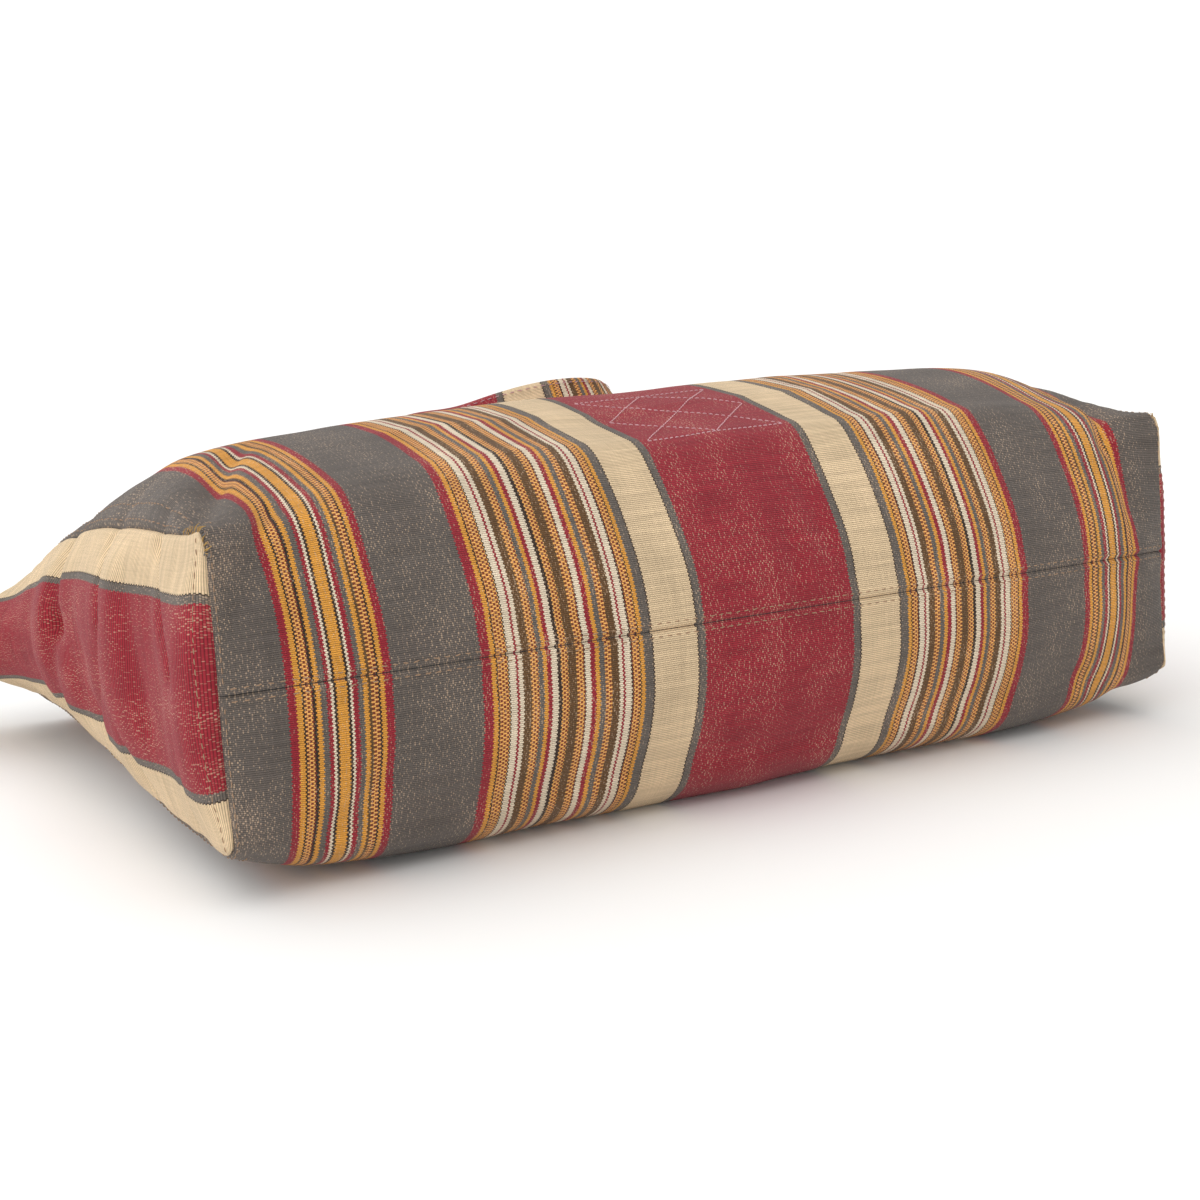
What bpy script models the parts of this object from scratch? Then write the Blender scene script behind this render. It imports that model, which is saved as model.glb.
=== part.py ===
# Striped woven tote bag, filled out and lying on its back panel with the base to the viewer.
# Metres, +Z up. X runs along the base, Y from the base to the mouth, Z from back panel to front.

import bpy
import math
import numpy as np

# The bag's cut sizes
BASE_LENGTH = 0.460       # base seam, gusset seam to gusset seam
GUSSET_WIDTH = 0.127      # end panel and base, across
PANEL_HEIGHT = 0.300      # base corner to mouth, along the front or back panel
CLOTH = 0.002             # wall of doubled woven cotton
SEAM_GAP = 0.0003         # clearance between neighbouring pieces

# How the filled bag lies
LYING_HEIGHT = 0.160      # floor to the top of the front panel
BELLY = 0.020             # the base swells this far past its corners
LEAN = 0.004              # the filling stands this much higher at the right end
SETTLE = 0.001            # depth by which the back panel is flattened where it rests

# Straps
STRAP_WIDTH = 0.042
STRAP_THICKNESS = 0.003
STRAP_SPACING = 0.200     # between the two legs of one strap
TAB_LENGTH = 0.055        # sewn to the panel below the mouth
FRONT_REACH = 0.115       # mouth to the turn of the strap that lies on the front panel
FRONT_BEND = 0.052        # height of its bend over the mouth
FRONT_SWAY = 0.031        # it slumps this far to one side at its turn
BACK_REACH = 0.150        # mouth to the turn of the strap that lies on the floor

# Mesh divisions
ACROSS = 28               # front and back panel, seam to seam
BASE_ROWS = 6             # base seam to corner
WALL_ROWS = 20            # corner to mouth
STRAP_STEPS = 60
EDGE_SPREAD = math.radians(70)   # closes the divisions up towards the end seams
EDGE_ROLL = 14            # how sharply the panels roll over into the end seams
ARCH_POWER = 3            # shape of the broad arch between the rolls
MITRE_LIMIT = 0.6         # keeps the mitre of a sharply folded seam short
CORNER_FADE = 0.10        # share of PANEL_HEIGHT in which a gusset leaves the base's curve
PROBE = 0.004             # distance over which a panel's directions are measured

TAB_LIFT = STRAP_THICKNESS + SEAM_GAP + SETTLE
STRAP_CLEARANCE = 2 * SEAM_GAP   # a flat strap over the curved front panel
HALF_BASE = GUSSET_WIDTH / 2
MIDDLE = LYING_HEIGHT / 2

# Sections of a panel between the base seam and the corner.
# at: share of half the gusset width. y: shares of BELLY, at mid length and at the end seam.
# z: share of LYING_HEIGHT at mid length, and of GUSSET_WIDTH from mid height at the end seam.
# crown: share of the cross curve that is one broad arch, the rest being the roll at the seams.
BASE_SECTIONS = {
    "front": [
        # at    y_mid   z_mid  y_end   z_end   crown
        (0.00, -0.90, 0.513, -0.20, -0.008, 0.45),
        (0.34, -0.60, 0.638, -0.15, 0.150, 0.45),
        (0.69, 0.00, 0.763, -0.05, 0.307, 0.40),
        (0.94, 0.50, 0.844, 0.05, 0.429, 0.40),
    ],
    "back": [
        (0.00, -0.90, 0.513, -0.20, -0.008, 0.45),
        (0.34, -1.00, 0.381, -0.25, -0.157, 0.45),
        (0.69, -0.80, 0.244, -0.40, -0.315, 0.40),
        (0.94, -0.50, 0.150, -0.50, -0.417, 0.30),
    ],
}

# Sections of a panel between the corner and the mouth.
# at and y: shares of PANEL_HEIGHT. z and crown: as above.
# lift: share of TAB_LIFT, for the sewn strap ends that the back panel lies on near its mouth.
WALL_SECTIONS = {
    "front": [
        # at    y_mid  z_mid  y_end  z_end   crown  lift
        (0.01, 0.050, 0.878, 0.020, 0.465, 0.35, 0.0),
        (0.04, 0.070, 0.912, 0.048, 0.449, 0.32, 0.0),
        (0.09, 0.117, 0.944, 0.097, 0.429, 0.30, 0.0),
        (0.19, 0.213, 0.981, 0.193, 0.406, 0.25, 0.0),
        (0.31, 0.333, 1.000, 0.313, 0.374, 0.30, 0.0),
        (0.43, 0.450, 0.953, 0.433, 0.327, 0.35, 0.0),
        (0.53, 0.537, 0.869, 0.530, 0.276, 0.45, 0.0),
        (0.62, 0.620, 0.759, 0.620, 0.205, 0.55, 0.0),
        (0.73, 0.707, 0.631, 0.720, 0.102, 0.70, 0.0),
        (0.86, 0.800, 0.488, 0.833, -0.024, 0.85, 0.0),
        (1.00, 0.907, 0.312, 0.967, -0.173, 1.00, 0.0),
    ],
    "back": [
        (0.01, -0.025, 0.106, -0.023, -0.453, 0.25, 0.0),
        (0.09, 0.027, 0.016, 0.053, -0.465, 0.20, 0.0),
        (0.19, 0.120, 0.000, 0.150, -0.469, 0.15, 0.0),
        (0.31, 0.242, 0.000, 0.273, -0.457, 0.15, 0.0),
        (0.43, 0.363, 0.000, 0.393, -0.433, 0.15, 0.0),
        (0.53, 0.460, 0.000, 0.490, -0.417, 0.20, 0.0),
        (0.62, 0.557, 0.000, 0.590, -0.402, 0.25, 0.0),
        (0.73, 0.667, 0.000, 0.697, -0.402, 0.30, 0.7),
        (0.79, 0.730, 0.000, 0.755, -0.406, 0.30, 1.0),
        (0.86, 0.800, 0.000, 0.820, -0.417, 0.30, 1.0),
        (1.00, 0.940, 0.000, 0.960, -0.441, 0.30, 1.0),
    ],
}

# Soft folds across each gusset, from the base corner to the mouth.
# at: share of PANEL_HEIGHT. out: how far it stands out of the end seams' plane, share of
# GUSSET_WIDTH. It swells between the folds and opens into a pointed ear at the mouth.
GUSSET_FOLDS = [
    # at   out
    (0.00, 0.000),
    (0.02, 0.060),
    (0.07, 0.095),
    (0.15, 0.060),
    (0.28, 0.120),
    (0.43, 0.085),
    (0.55, 0.160),
    (0.67, 0.110),
    (0.78, 0.200),
    (0.88, 0.330),
    (1.00, 0.440),
]

# Soft dents of the front panel, where the filling is slack.
# across: -1 to 1, seam to seam. at: share of the way from base seam to mouth.
# wide: share of half BASE_LENGTH. long: share of that way. deep: share of LYING_HEIGHT.
DENTS = [
    # across  at    wide  long  deep
    (-0.15, 0.31, 0.16, 0.07, 0.020),
    (-0.85, 0.13, 0.05, 0.11, 0.014),
    (0.83, 0.26, 0.07, 0.09, 0.016),
    (0.42, 0.60, 0.30, 0.09, 0.026),
    (-0.48, 0.66, 0.26, 0.08, 0.030),
    (0.02, 0.75, 0.22, 0.06, 0.020),
]

SEAM_HOLD = 8             # power by which the dents fade out towards the end seams
FULL_END = 2.6            # cross curve of the gusset where it is filled
EAR_END = 1.2             # and at the ear, which is nearly a plain fold
EAR_START = 0.60          # share of PANEL_HEIGHT where the ear begins

# Course of each strap from the mouth to its turn, one leg; the other is its mirror image.
# side: share of half STRAP_SPACING. reach: share of the strap's reach from the mouth.
# bend: share of FRONT_BEND. turn and rise: direction of the strap's width, in degrees.
FRONT_COURSE = [
    # side  reach  bend  turn  rise
    (1.00, -0.18, 0.10, 0, 0),
    (1.00, -0.29, 0.34, 0, 0),
    (0.99, -0.29, 0.68, 0, 0),
    (0.98, -0.17, 0.93, 3, 4),
    (0.95, 0.06, 0.98, 10, 14),
    (0.88, 0.30, 0.76, 24, 32),
    (0.76, 0.54, 0.46, 42, 53),
    (0.56, 0.77, 0.20, 61, 72),
    (0.30, 0.94, 0.05, 78, 85),
    (0.00, 1.00, 0.00, 90, 90),
]
BACK_COURSE = [
    (1.00, 0.12, 0.0, 0, 0),
    (0.99, 0.26, 0.0, 4, 6),
    (0.96, 0.42, 0.0, 14, 20),
    (0.88, 0.59, 0.0, 30, 42),
    (0.74, 0.76, 0.0, 48, 62),
    (0.53, 0.90, 0.0, 66, 78),
    (0.27, 0.98, 0.0, 80, 87),
    (0.00, 1.00, 0.0, 90, 90),
]

# Colours, linear RGB
COLOURS = {
    "striped_cloth": (0.30, 0.06, 0.08, 1.0),
    "striped_cloth_back": (0.28, 0.06, 0.07, 1.0),
    "gusset_cloth": (0.32, 0.05, 0.07, 1.0),
    "strap_cloth": (0.35, 0.07, 0.09, 1.0),
}
CLOTH_ROUGHNESS = 0.9


def clear_scene():
    for found in list(bpy.data.objects):
        bpy.data.objects.remove(found, do_unlink=True)


def smooth_rows(places, values, at):
    """A smooth curve through a table's rows, read at one or many places."""
    places = np.asarray(places, float)
    values = np.asarray(values, float)
    at = np.clip(np.asarray(at, float), places[0], places[-1])
    step = np.diff(places)
    slope = np.diff(values) / step
    tangent = np.empty_like(values)
    tangent[0] = slope[0]
    tangent[-1] = slope[-1]
    inner = (slope[:-1] * step[1:] + slope[1:] * step[:-1]) / (step[:-1] + step[1:])
    # level at a row that is a peak, a valley or the end of a flat stretch, so nothing overshoots
    tangent[1:-1] = np.where(slope[:-1] * slope[1:] > 0, inner, 0)
    row = np.clip(np.searchsorted(places, at, side="right") - 1, 0, len(places) - 2)
    t = (at - places[row]) / step[row]
    start = (2 * t**3 - 3 * t**2 + 1) * values[row]
    leave = (t**3 - 2 * t**2 + t) * step[row] * tangent[row]
    end = (3 * t**2 - 2 * t**3) * values[row + 1]
    arrive = (t**3 - t**2) * step[row] * tangent[row + 1]
    return start + leave + end + arrive


def panel_rows(side):
    """Both section tables of one panel as real lengths along the cloth, with their columns."""
    rows = []
    for at, y_mid, z_mid, y_end, z_end, crown in BASE_SECTIONS[side]:
        rows.append((at * HALF_BASE, y_mid * BELLY, z_mid * LYING_HEIGHT,
                     y_end * BELLY, MIDDLE + z_end * GUSSET_WIDTH, crown))
    for at, y_mid, z_mid, y_end, z_end, crown, lift in WALL_SECTIONS[side]:
        rows.append((HALF_BASE + at * PANEL_HEIGHT,
                     y_mid * PANEL_HEIGHT, z_mid * LYING_HEIGHT + lift * TAB_LIFT,
                     y_end * PANEL_HEIGHT, MIDDLE + z_end * GUSSET_WIDTH, crown))
    return np.array(rows)


PANEL_ROWS = {side: panel_rows(side) for side in ("front", "back")}


def panel_column(side, column, run):
    rows = PANEL_ROWS[side]
    return smooth_rows(rows[:, 0], rows[:, column], run)


def tilt_fill(across, z):
    """The filling stands a little higher at one end of the upper half."""
    return z + LEAN * across * np.clip((z - MIDDLE) / MIDDLE, 0, 1)


def dent_depth(across, run):
    length = HALF_BASE + PANEL_HEIGHT
    depth = np.zeros_like(across)
    for place, at, wide, long, deep in DENTS:
        sideways = (across - place) / wide
        lengthways = (run / length - at) / long
        depth += deep * LYING_HEIGHT * np.exp(-sideways**2 - lengthways**2)
    return depth * (1 - np.abs(across)**SEAM_HOLD)


def panel_point(side, across, run):
    """Outer face of a panel: across is -1 to 1, run is the way along the cloth from the base seam."""
    across, run = np.broadcast_arrays(np.asarray(across, float), np.asarray(run, float))
    crown = panel_column(side, 5, run)
    reach = np.abs(across)
    fill = 1 - (1 - crown) * reach**EDGE_ROLL - crown * reach**ARCH_POWER
    y_end = panel_column(side, 3, run)
    z_end = panel_column(side, 4, run)
    y = y_end + (panel_column(side, 1, run) - y_end) * fill
    z = z_end + (panel_column(side, 2, run) - z_end) * fill
    if side == "front":
        # a dent goes inwards: along Y on the base, turning to down over the corner
        inwards = np.radians(90) * np.clip(run / GUSSET_WIDTH, 0, 1)
        depth = dent_depth(across, run)
        y = y + depth * np.cos(inwards)
        z = z - depth * np.sin(inwards)
    z = tilt_fill(across, np.maximum(z - SETTLE, 0))
    return np.stack([across * BASE_LENGTH / 2, y, z], -1)


def gusset_point(end, across, at):
    """Outer face of a gusset: end is -1 or 1, across -1 (back) to 1 (front), at 0 (base) to 1 (mouth)."""
    across, at = np.broadcast_arrays(np.asarray(across, float), np.asarray(at, float))
    run = HALF_BASE + at * PANEL_HEIGHT
    front = panel_point("front", end, run)
    back = panel_point("back", end, run)
    share = ((across + 1) / 2)[..., None]
    point = back + (front - back) * share
    # the base end follows the seam round the base, and the difference fades out along the gusset
    base_run = np.abs(across) * HALF_BASE
    seam = np.where((across >= 0)[..., None],
                    panel_point("front", end, base_run), panel_point("back", end, base_run))
    corner_front = panel_point("front", end, HALF_BASE)
    corner_back = panel_point("back", end, HALF_BASE)
    chord = corner_back + (corner_front - corner_back) * share
    fade = np.clip(1 - at / CORNER_FADE, 0, 1)**2
    point = point + (seam - chord) * fade[..., None]
    folds = np.array(GUSSET_FOLDS)
    out = smooth_rows(folds[:, 0], folds[:, 1], at) * GUSSET_WIDTH
    ear = np.clip((at - EAR_START) / (1 - EAR_START), 0, 1)
    power = FULL_END + (EAR_END - FULL_END) * ear
    point[..., 0] += end * out * (1 - np.abs(across)**power)
    return point


def panel_grid(side):
    turn = np.linspace(-EDGE_SPREAD, EDGE_SPREAD, ACROSS + 1)
    across = np.sin(turn) / math.sin(EDGE_SPREAD)
    base = np.linspace(0, HALF_BASE, BASE_ROWS + 1)
    wall = np.linspace(HALF_BASE, HALF_BASE + PANEL_HEIGHT, WALL_ROWS + 1)
    run = np.concatenate([base, wall[1:]])
    return panel_point(side, across[:, None], run[None, :])


def gusset_grid(end):
    across = np.linspace(-1, 1, 2 * BASE_ROWS + 1)
    at = np.linspace(0, 1, WALL_ROWS + 1)
    return gusset_point(end, across[:, None], at[None, :])


def unit(vectors):
    length = np.linalg.norm(vectors, axis=-1, keepdims=True)
    return vectors / np.maximum(length, 1e-12)


def grid_normals(grid, flip):
    """Normals at a grid's points, from the faces around each."""
    down = grid[1:, 1:] - grid[:-1, :-1]
    up = grid[:-1, 1:] - grid[1:, :-1]
    face = np.cross(down, up) * flip
    total = np.zeros_like(grid)
    total[:-1, :-1] += face
    total[1:, :-1] += face
    total[:-1, 1:] += face
    total[1:, 1:] += face
    return unit(total)


def seam_pairs():
    """Where two grids share a seam: each entry is a piece and the index of a line of its grid."""
    last = ACROSS
    pairs = []
    whole = slice(None)
    pairs.append((("body_front", (whole, 0)), ("body_back", (whole, 0))))
    for name, column in (("gusset_left", 0), ("gusset_right", last)):
        wall = slice(BASE_ROWS, None)
        pairs.append(((name, (2 * BASE_ROWS, whole)), ("body_front", (column, wall))))
        pairs.append(((name, (0, whole)), ("body_back", (column, wall))))
        towards_front = slice(BASE_ROWS, None)
        towards_back = slice(BASE_ROWS, None, -1)
        base = slice(0, BASE_ROWS + 1)
        pairs.append(((name, (towards_front, 0)), ("body_front", (column, base))))
        pairs.append(((name, (towards_back, 0)), ("body_back", (column, base))))
    return pairs


def cloth_offsets(grids, normals):
    """Way from the outer to the inner face of the cloth, mitred along the seams."""
    total = {name: array.copy() for name, array in normals.items()}
    for (one, one_line), (other, other_line) in seam_pairs():
        total[one][one_line] += normals[other][other_line]
        total[other][other_line] += normals[one][one_line]
    # the three pieces at an end of the base seam share one direction, and so do the two at a corner
    for name, column in (("gusset_left", 0), ("gusset_right", ACROSS)):
        ends = [(name, (BASE_ROWS, 0)), ("body_front", (column, 0)), ("body_back", (column, 0))]
        shared = sum(normals[piece][place] for piece, place in ends)
        for piece, place in ends:
            total[piece][place] = shared
        for row, body in ((2 * BASE_ROWS, "body_front"), (0, "body_back")):
            shared = normals[name][row, 0] + normals[body][column, BASE_ROWS]
            total[name][row, 0] = shared
            total[body][column, BASE_ROWS] = shared
    offsets = {}
    for name, array in total.items():
        mitre = unit(array)
        slant = np.maximum(np.sum(mitre * normals[name], axis=-1, keepdims=True), MITRE_LIMIT)
        offsets[name] = -mitre * CLOTH / slant
    for (one, one_line), (other, other_line) in seam_pairs():
        mean = (offsets[one][one_line] + offsets[other][other_line]) / 2
        offsets[one][one_line] = mean
        offsets[other][other_line] = mean
    return offsets


def draw_back(points, pulls):
    """Moves a grid's borders into the piece, to leave the seam's clearance."""
    moved = points.copy()
    first, last, base, mouth = pulls
    moved[0] += unit(points[1] - points[0]) * first
    moved[-1] += unit(points[-2] - points[-1]) * last
    moved[:, 0] += unit(points[:, 1] - points[:, 0]) * base
    moved[:, -1] += unit(points[:, -2] - points[:, -1]) * mouth
    return moved


def cloth_mesh(name, outer, inner, flip):
    """A closed wall of cloth between its outer and inner grids."""
    rows, columns = outer.shape[:2]
    count = rows * columns
    points = np.concatenate([outer.reshape(-1, 3), inner.reshape(-1, 3)])
    faces = []
    for i in range(rows - 1):
        for j in range(columns - 1):
            quad = [i * columns + j, (i + 1) * columns + j,
                    (i + 1) * columns + j + 1, i * columns + j + 1]
            faces.append(quad)
            faces.append([count + corner for corner in reversed(quad)])
    border = [i * columns for i in range(rows)]
    border += [(rows - 1) * columns + j for j in range(1, columns)]
    border += [i * columns + columns - 1 for i in range(rows - 2, -1, -1)]
    border += [j for j in range(columns - 2, 0, -1)]
    for start, end in zip(border, border[1:] + border[:1]):
        faces.append([end, start, count + start, count + end])
    if flip < 0:
        faces = [list(reversed(face)) for face in faces]
    mesh = bpy.data.meshes.new(name)
    mesh.from_pydata(points.tolist(), [], faces)
    return mesh


def strap_stations(course, reach, bend, sway, tab_sign):
    """Rows of a whole strap, tab to tab: side, reach, height over its base, turn and rise."""
    leg = [(1.0, tab_sign * TAB_LENGTH, 0.0, 0, 0),
           (1.0, tab_sign * TAB_LENGTH / 2, 0.0, 0, 0),
           (1.0, 0.0, 0.0, 0, 0)]
    for side, along, height, turn, rise in course:
        leg.append((side, along * reach, height * bend, turn, rise))
    rows = np.array(leg, float)
    rows[:, 0] *= STRAP_SPACING / 2
    rows[:, 3:] = np.radians(rows[:, 3:])
    left = rows.copy()
    left[:, 0] *= -1
    right = rows[-2::-1].copy()
    right[:, 3] = math.pi - right[:, 3]
    whole = np.concatenate([left, right])
    way = np.concatenate([[0], np.cumsum(np.linalg.norm(np.diff(whole[:, :3], axis=0), axis=1))])
    at = np.linspace(0, way[-1], STRAP_STEPS + 1)
    stations = np.stack([smooth_rows(way, whole[:, column], at) for column in range(5)], -1)
    free = np.clip((at - TAB_LENGTH) / (way[-1] - 2 * TAB_LENGTH), 0, 1)
    stations[:, 0] += sway * np.sin(math.pi * free)**2
    return stations


def front_base(side, reach):
    """Point and directions of the front panel at a distance from its mouth, also past it."""
    mouth = HALF_BASE + PANEL_HEIGHT
    across = side / (BASE_LENGTH / 2)
    run = min(mouth - reach, mouth)
    sideways = PROBE / (BASE_LENGTH / 2)
    point = panel_point("front", across, run)
    along = unit(panel_point("front", across, run - PROBE) - point)
    if reach < 0:
        point = point + along * reach
    wide = unit(panel_point("front", across + sideways, run)
                - panel_point("front", across - sideways, run))
    normal = unit(np.cross(along, wide))
    if normal[2] < 0:
        normal = -normal
    return point, along, wide, normal


def back_base(side, reach):
    """The floor under the strap that lies beyond the back panel's mouth."""
    mouth = HALF_BASE + PANEL_HEIGHT
    edge = panel_point("back", side / (BASE_LENGTH / 2), mouth)
    point = np.array([side, edge[1] + reach, 0.0])
    along = np.array([0.0, 1.0, 0.0])
    wide = np.array([1.0, 0.0, 0.0])
    normal = np.array([0.0, 0.0, 1.0])
    return point, along, wide, normal


def strap_mesh(name, stations, base, clearance):
    """A flat strap swept along its course and turned up on edge round its bend."""
    centres = []
    widths = []
    for side, reach, height, turn, rise in stations:
        point, along, wide, normal = base(side, reach)
        lift = STRAP_THICKNESS / 2 + clearance + height + math.sin(rise) * STRAP_WIDTH / 2
        centres.append(point + normal * lift)
        flat = math.cos(turn) * wide - math.sin(turn) * along
        widths.append(math.cos(rise) * flat + math.sin(rise) * normal)
    centres = np.array(centres)
    tangents = unit(np.gradient(centres, axis=0))
    widths = np.array(widths)
    widths = unit(widths - np.sum(widths * tangents, axis=1, keepdims=True) * tangents)
    faces_up = np.cross(tangents, widths)
    half_width = widths * STRAP_WIDTH / 2
    half_thick = faces_up * STRAP_THICKNESS / 2
    rings = np.stack([centres + half_width + half_thick, centres - half_width + half_thick,
                      centres - half_width - half_thick, centres + half_width - half_thick], 1)
    faces = []
    for i in range(len(rings) - 1):
        for k in range(4):
            after = (k + 1) % 4
            faces.append([4 * i + after, 4 * i + 4 + after, 4 * i + 4 + k, 4 * i + k])
    end = 4 * (len(rings) - 1)
    faces.append([3, 2, 1, 0])
    faces.append([end, end + 1, end + 2, end + 3])
    mesh = bpy.data.meshes.new(name)
    mesh.from_pydata(rings.reshape(-1, 3).tolist(), [], faces)
    return mesh


def cloth_material(name):
    material = bpy.data.materials.new(name)
    material.use_nodes = True
    shader = material.node_tree.nodes["Principled BSDF"]
    shader.inputs["Base Color"].default_value = COLOURS[name]
    shader.inputs["Roughness"].default_value = CLOTH_ROUGHNESS
    shader.inputs["Metallic"].default_value = 0.0
    material.diffuse_color = COLOURS[name]
    return material


def bag_meshes():
    """The four cloth panels, which meet at the base seam and the gusset seams."""
    grids = {
        "body_front": panel_grid("front"),
        "body_back": panel_grid("back"),
        "gusset_left": gusset_grid(-1),
        "gusset_right": gusset_grid(1),
    }
    flips = {"body_front": 1, "body_back": -1, "gusset_left": 1, "gusset_right": -1}
    normals = {name: grid_normals(grid, flips[name]) for name, grid in grids.items()}
    offsets = cloth_offsets(grids, normals)
    half = SEAM_GAP / 2
    mitred = half / math.sin(math.pi / 4)
    pulls = {
        "body_front": (mitred, mitred, half, 0),
        "body_back": (mitred, mitred, half, 0),
        "gusset_left": (mitred, mitred, mitred, 0),
        "gusset_right": (mitred, mitred, mitred, 0),
    }
    meshes = {}
    for name, grid in grids.items():
        outer = draw_back(grid, pulls[name])
        inner = draw_back(grid + offsets[name], pulls[name])
        meshes[name] = cloth_mesh(name, outer, inner, flips[name])
    return meshes


def strap_meshes():
    front = strap_stations(FRONT_COURSE, FRONT_REACH, FRONT_BEND, FRONT_SWAY, 1)
    back = strap_stations(BACK_COURSE, BACK_REACH, 0.0, 0.0, -1)
    return {
        "handle_front": strap_mesh("handle_front", front, front_base, STRAP_CLEARANCE),
        "handle_back": strap_mesh("handle_back", back, back_base, SEAM_GAP / 2),
    }


def centre_on_floor(objects):
    """Brings the origin under the middle of the whole bag, on the surface that it lies on."""
    corners = np.array([vertex.co for piece in objects for vertex in piece.data.vertices])
    low = corners.min(axis=0)
    high = corners.max(axis=0)
    move = np.array([(low[0] + high[0]) / 2, (low[1] + high[1]) / 2, low[2]])
    for piece in objects:
        for vertex in piece.data.vertices:
            vertex.co = np.array(vertex.co) - move


def build():
    clear_scene()
    collection = bpy.data.collections.new("striped_tote_bag")
    bpy.context.scene.collection.children.link(collection)
    materials = {
        "body_front": "striped_cloth",
        "body_back": "striped_cloth_back",
        "gusset_left": "gusset_cloth",
        "gusset_right": "gusset_cloth",
        "handle_front": "strap_cloth",
        "handle_back": "strap_cloth",
    }
    made = {}
    meshes = bag_meshes()
    meshes.update(strap_meshes())
    objects = []
    for name, mesh in meshes.items():
        slot = materials[name]
        if slot not in made:
            made[slot] = cloth_material(slot)
        mesh.materials.append(made[slot])
        mesh.shade_smooth()
        piece = bpy.data.objects.new(name, mesh)
        collection.objects.link(piece)
        objects.append(piece)
    centre_on_floor(objects)


build()
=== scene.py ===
import math

import bpy
import numpy as np
from mathutils import Matrix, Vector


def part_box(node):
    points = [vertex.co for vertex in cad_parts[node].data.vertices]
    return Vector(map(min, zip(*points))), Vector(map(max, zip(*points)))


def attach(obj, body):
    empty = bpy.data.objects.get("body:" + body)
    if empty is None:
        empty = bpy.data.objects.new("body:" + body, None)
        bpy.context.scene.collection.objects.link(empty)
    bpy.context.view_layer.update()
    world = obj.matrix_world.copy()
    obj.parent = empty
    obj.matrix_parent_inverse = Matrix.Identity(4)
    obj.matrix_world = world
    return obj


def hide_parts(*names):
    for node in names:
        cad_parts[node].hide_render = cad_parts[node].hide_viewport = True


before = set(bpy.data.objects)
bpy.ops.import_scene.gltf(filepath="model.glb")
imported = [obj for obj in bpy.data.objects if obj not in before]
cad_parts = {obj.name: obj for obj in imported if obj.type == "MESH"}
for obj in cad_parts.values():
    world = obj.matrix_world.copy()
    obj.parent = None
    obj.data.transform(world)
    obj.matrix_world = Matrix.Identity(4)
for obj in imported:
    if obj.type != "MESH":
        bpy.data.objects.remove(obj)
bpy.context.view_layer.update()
print("frame loaded")

mm = 0.001


# cloth sizes and the form that the filling gives it, all in metres
bag = {
    "baseLength": 0.460,      # base seam, from gusset seam to gusset seam
    "gussetWidth": 0.127,
    "panelHeight": 0.300,     # base corner to mouth
    "wall": 0.002,            # doubled cloth
    "lyingHeight": 0.160,
    "belly": 0.020,           # swell of the base past its corners
    "lean": 0.004,            # the filling stands higher at the right end
    "settle": 0.001,          # flattened where it rests
    "tabLift": 0.0043,        # the back panel lies on its strap's sewn ends
    "edgeRoll": 14,
    "archPower": 3,
    "seamHold": 8,
    "fineStep": 0.0004,       # mesh steps beside a seam
    "openStep": 0.0022,       # and in the open cloth
    "growth": 1.4,
}
halfBase = bag["gussetWidth"] / 2
halfLength = bag["baseLength"] / 2
middle = bag["lyingHeight"] / 2
mouth = halfBase + bag["panelHeight"]

# base seam to corner. at: share of half the gusset width. y: shares of belly. z: share of
# lyingHeight at mid length, share of gussetWidth from mid height at the end seam
baseSections = {
    "front": [
        # at    yMid   zMid   yEnd   zEnd    crown
        (0.00, -0.90, 0.513, -0.20, -0.008, 0.45),
        (0.34, -0.60, 0.638, -0.15, 0.150, 0.45),
        (0.69, 0.00, 0.763, -0.05, 0.307, 0.40),
        (0.94, 0.50, 0.844, 0.05, 0.429, 0.40),
    ],
    "back": [
        (0.00, -0.90, 0.513, -0.20, -0.008, 0.45),
        (0.34, -1.00, 0.381, -0.25, -0.157, 0.45),
        (0.69, -0.80, 0.244, -0.40, -0.315, 0.40),
        (0.94, -0.50, 0.150, -0.50, -0.417, 0.30),
    ],
}

# corner to mouth. at and y: shares of panelHeight. z, crown: as above. lift: share of tabLift
wallSections = {
    "front": [
        # at    yMid   zMid   yEnd   zEnd    crown  lift
        (0.01, 0.050, 0.878, 0.020, 0.465, 0.35, 0.0),
        (0.04, 0.070, 0.912, 0.048, 0.449, 0.32, 0.0),
        (0.09, 0.117, 0.944, 0.097, 0.429, 0.30, 0.0),
        (0.19, 0.213, 0.981, 0.193, 0.406, 0.25, 0.0),
        (0.31, 0.333, 1.000, 0.313, 0.374, 0.30, 0.0),
        (0.43, 0.450, 0.953, 0.433, 0.327, 0.35, 0.0),
        (0.53, 0.537, 0.869, 0.530, 0.276, 0.45, 0.0),
        (0.62, 0.620, 0.759, 0.620, 0.205, 0.55, 0.0),
        (0.73, 0.707, 0.631, 0.720, 0.102, 0.70, 0.0),
        (0.86, 0.800, 0.488, 0.833, -0.024, 0.85, 0.0),
        (1.00, 0.907, 0.312, 0.967, -0.173, 1.00, 0.0),
    ],
    "back": [
        (0.01, -0.025, 0.106, -0.023, -0.453, 0.25, 0.0),
        (0.09, 0.027, 0.016, 0.053, -0.465, 0.20, 0.0),
        (0.19, 0.120, 0.000, 0.150, -0.469, 0.15, 0.0),
        (0.31, 0.242, 0.000, 0.273, -0.457, 0.15, 0.0),
        (0.43, 0.363, 0.000, 0.393, -0.433, 0.15, 0.0),
        (0.53, 0.460, 0.000, 0.490, -0.417, 0.20, 0.0),
        (0.62, 0.557, 0.000, 0.590, -0.402, 0.25, 0.0),
        (0.73, 0.667, 0.000, 0.697, -0.402, 0.30, 0.7),
        (0.79, 0.730, 0.000, 0.755, -0.406, 0.30, 1.0),
        (0.86, 0.800, 0.000, 0.820, -0.417, 0.30, 1.0),
        (1.00, 0.940, 0.000, 0.960, -0.441, 0.30, 1.0),
    ],
}

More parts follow.
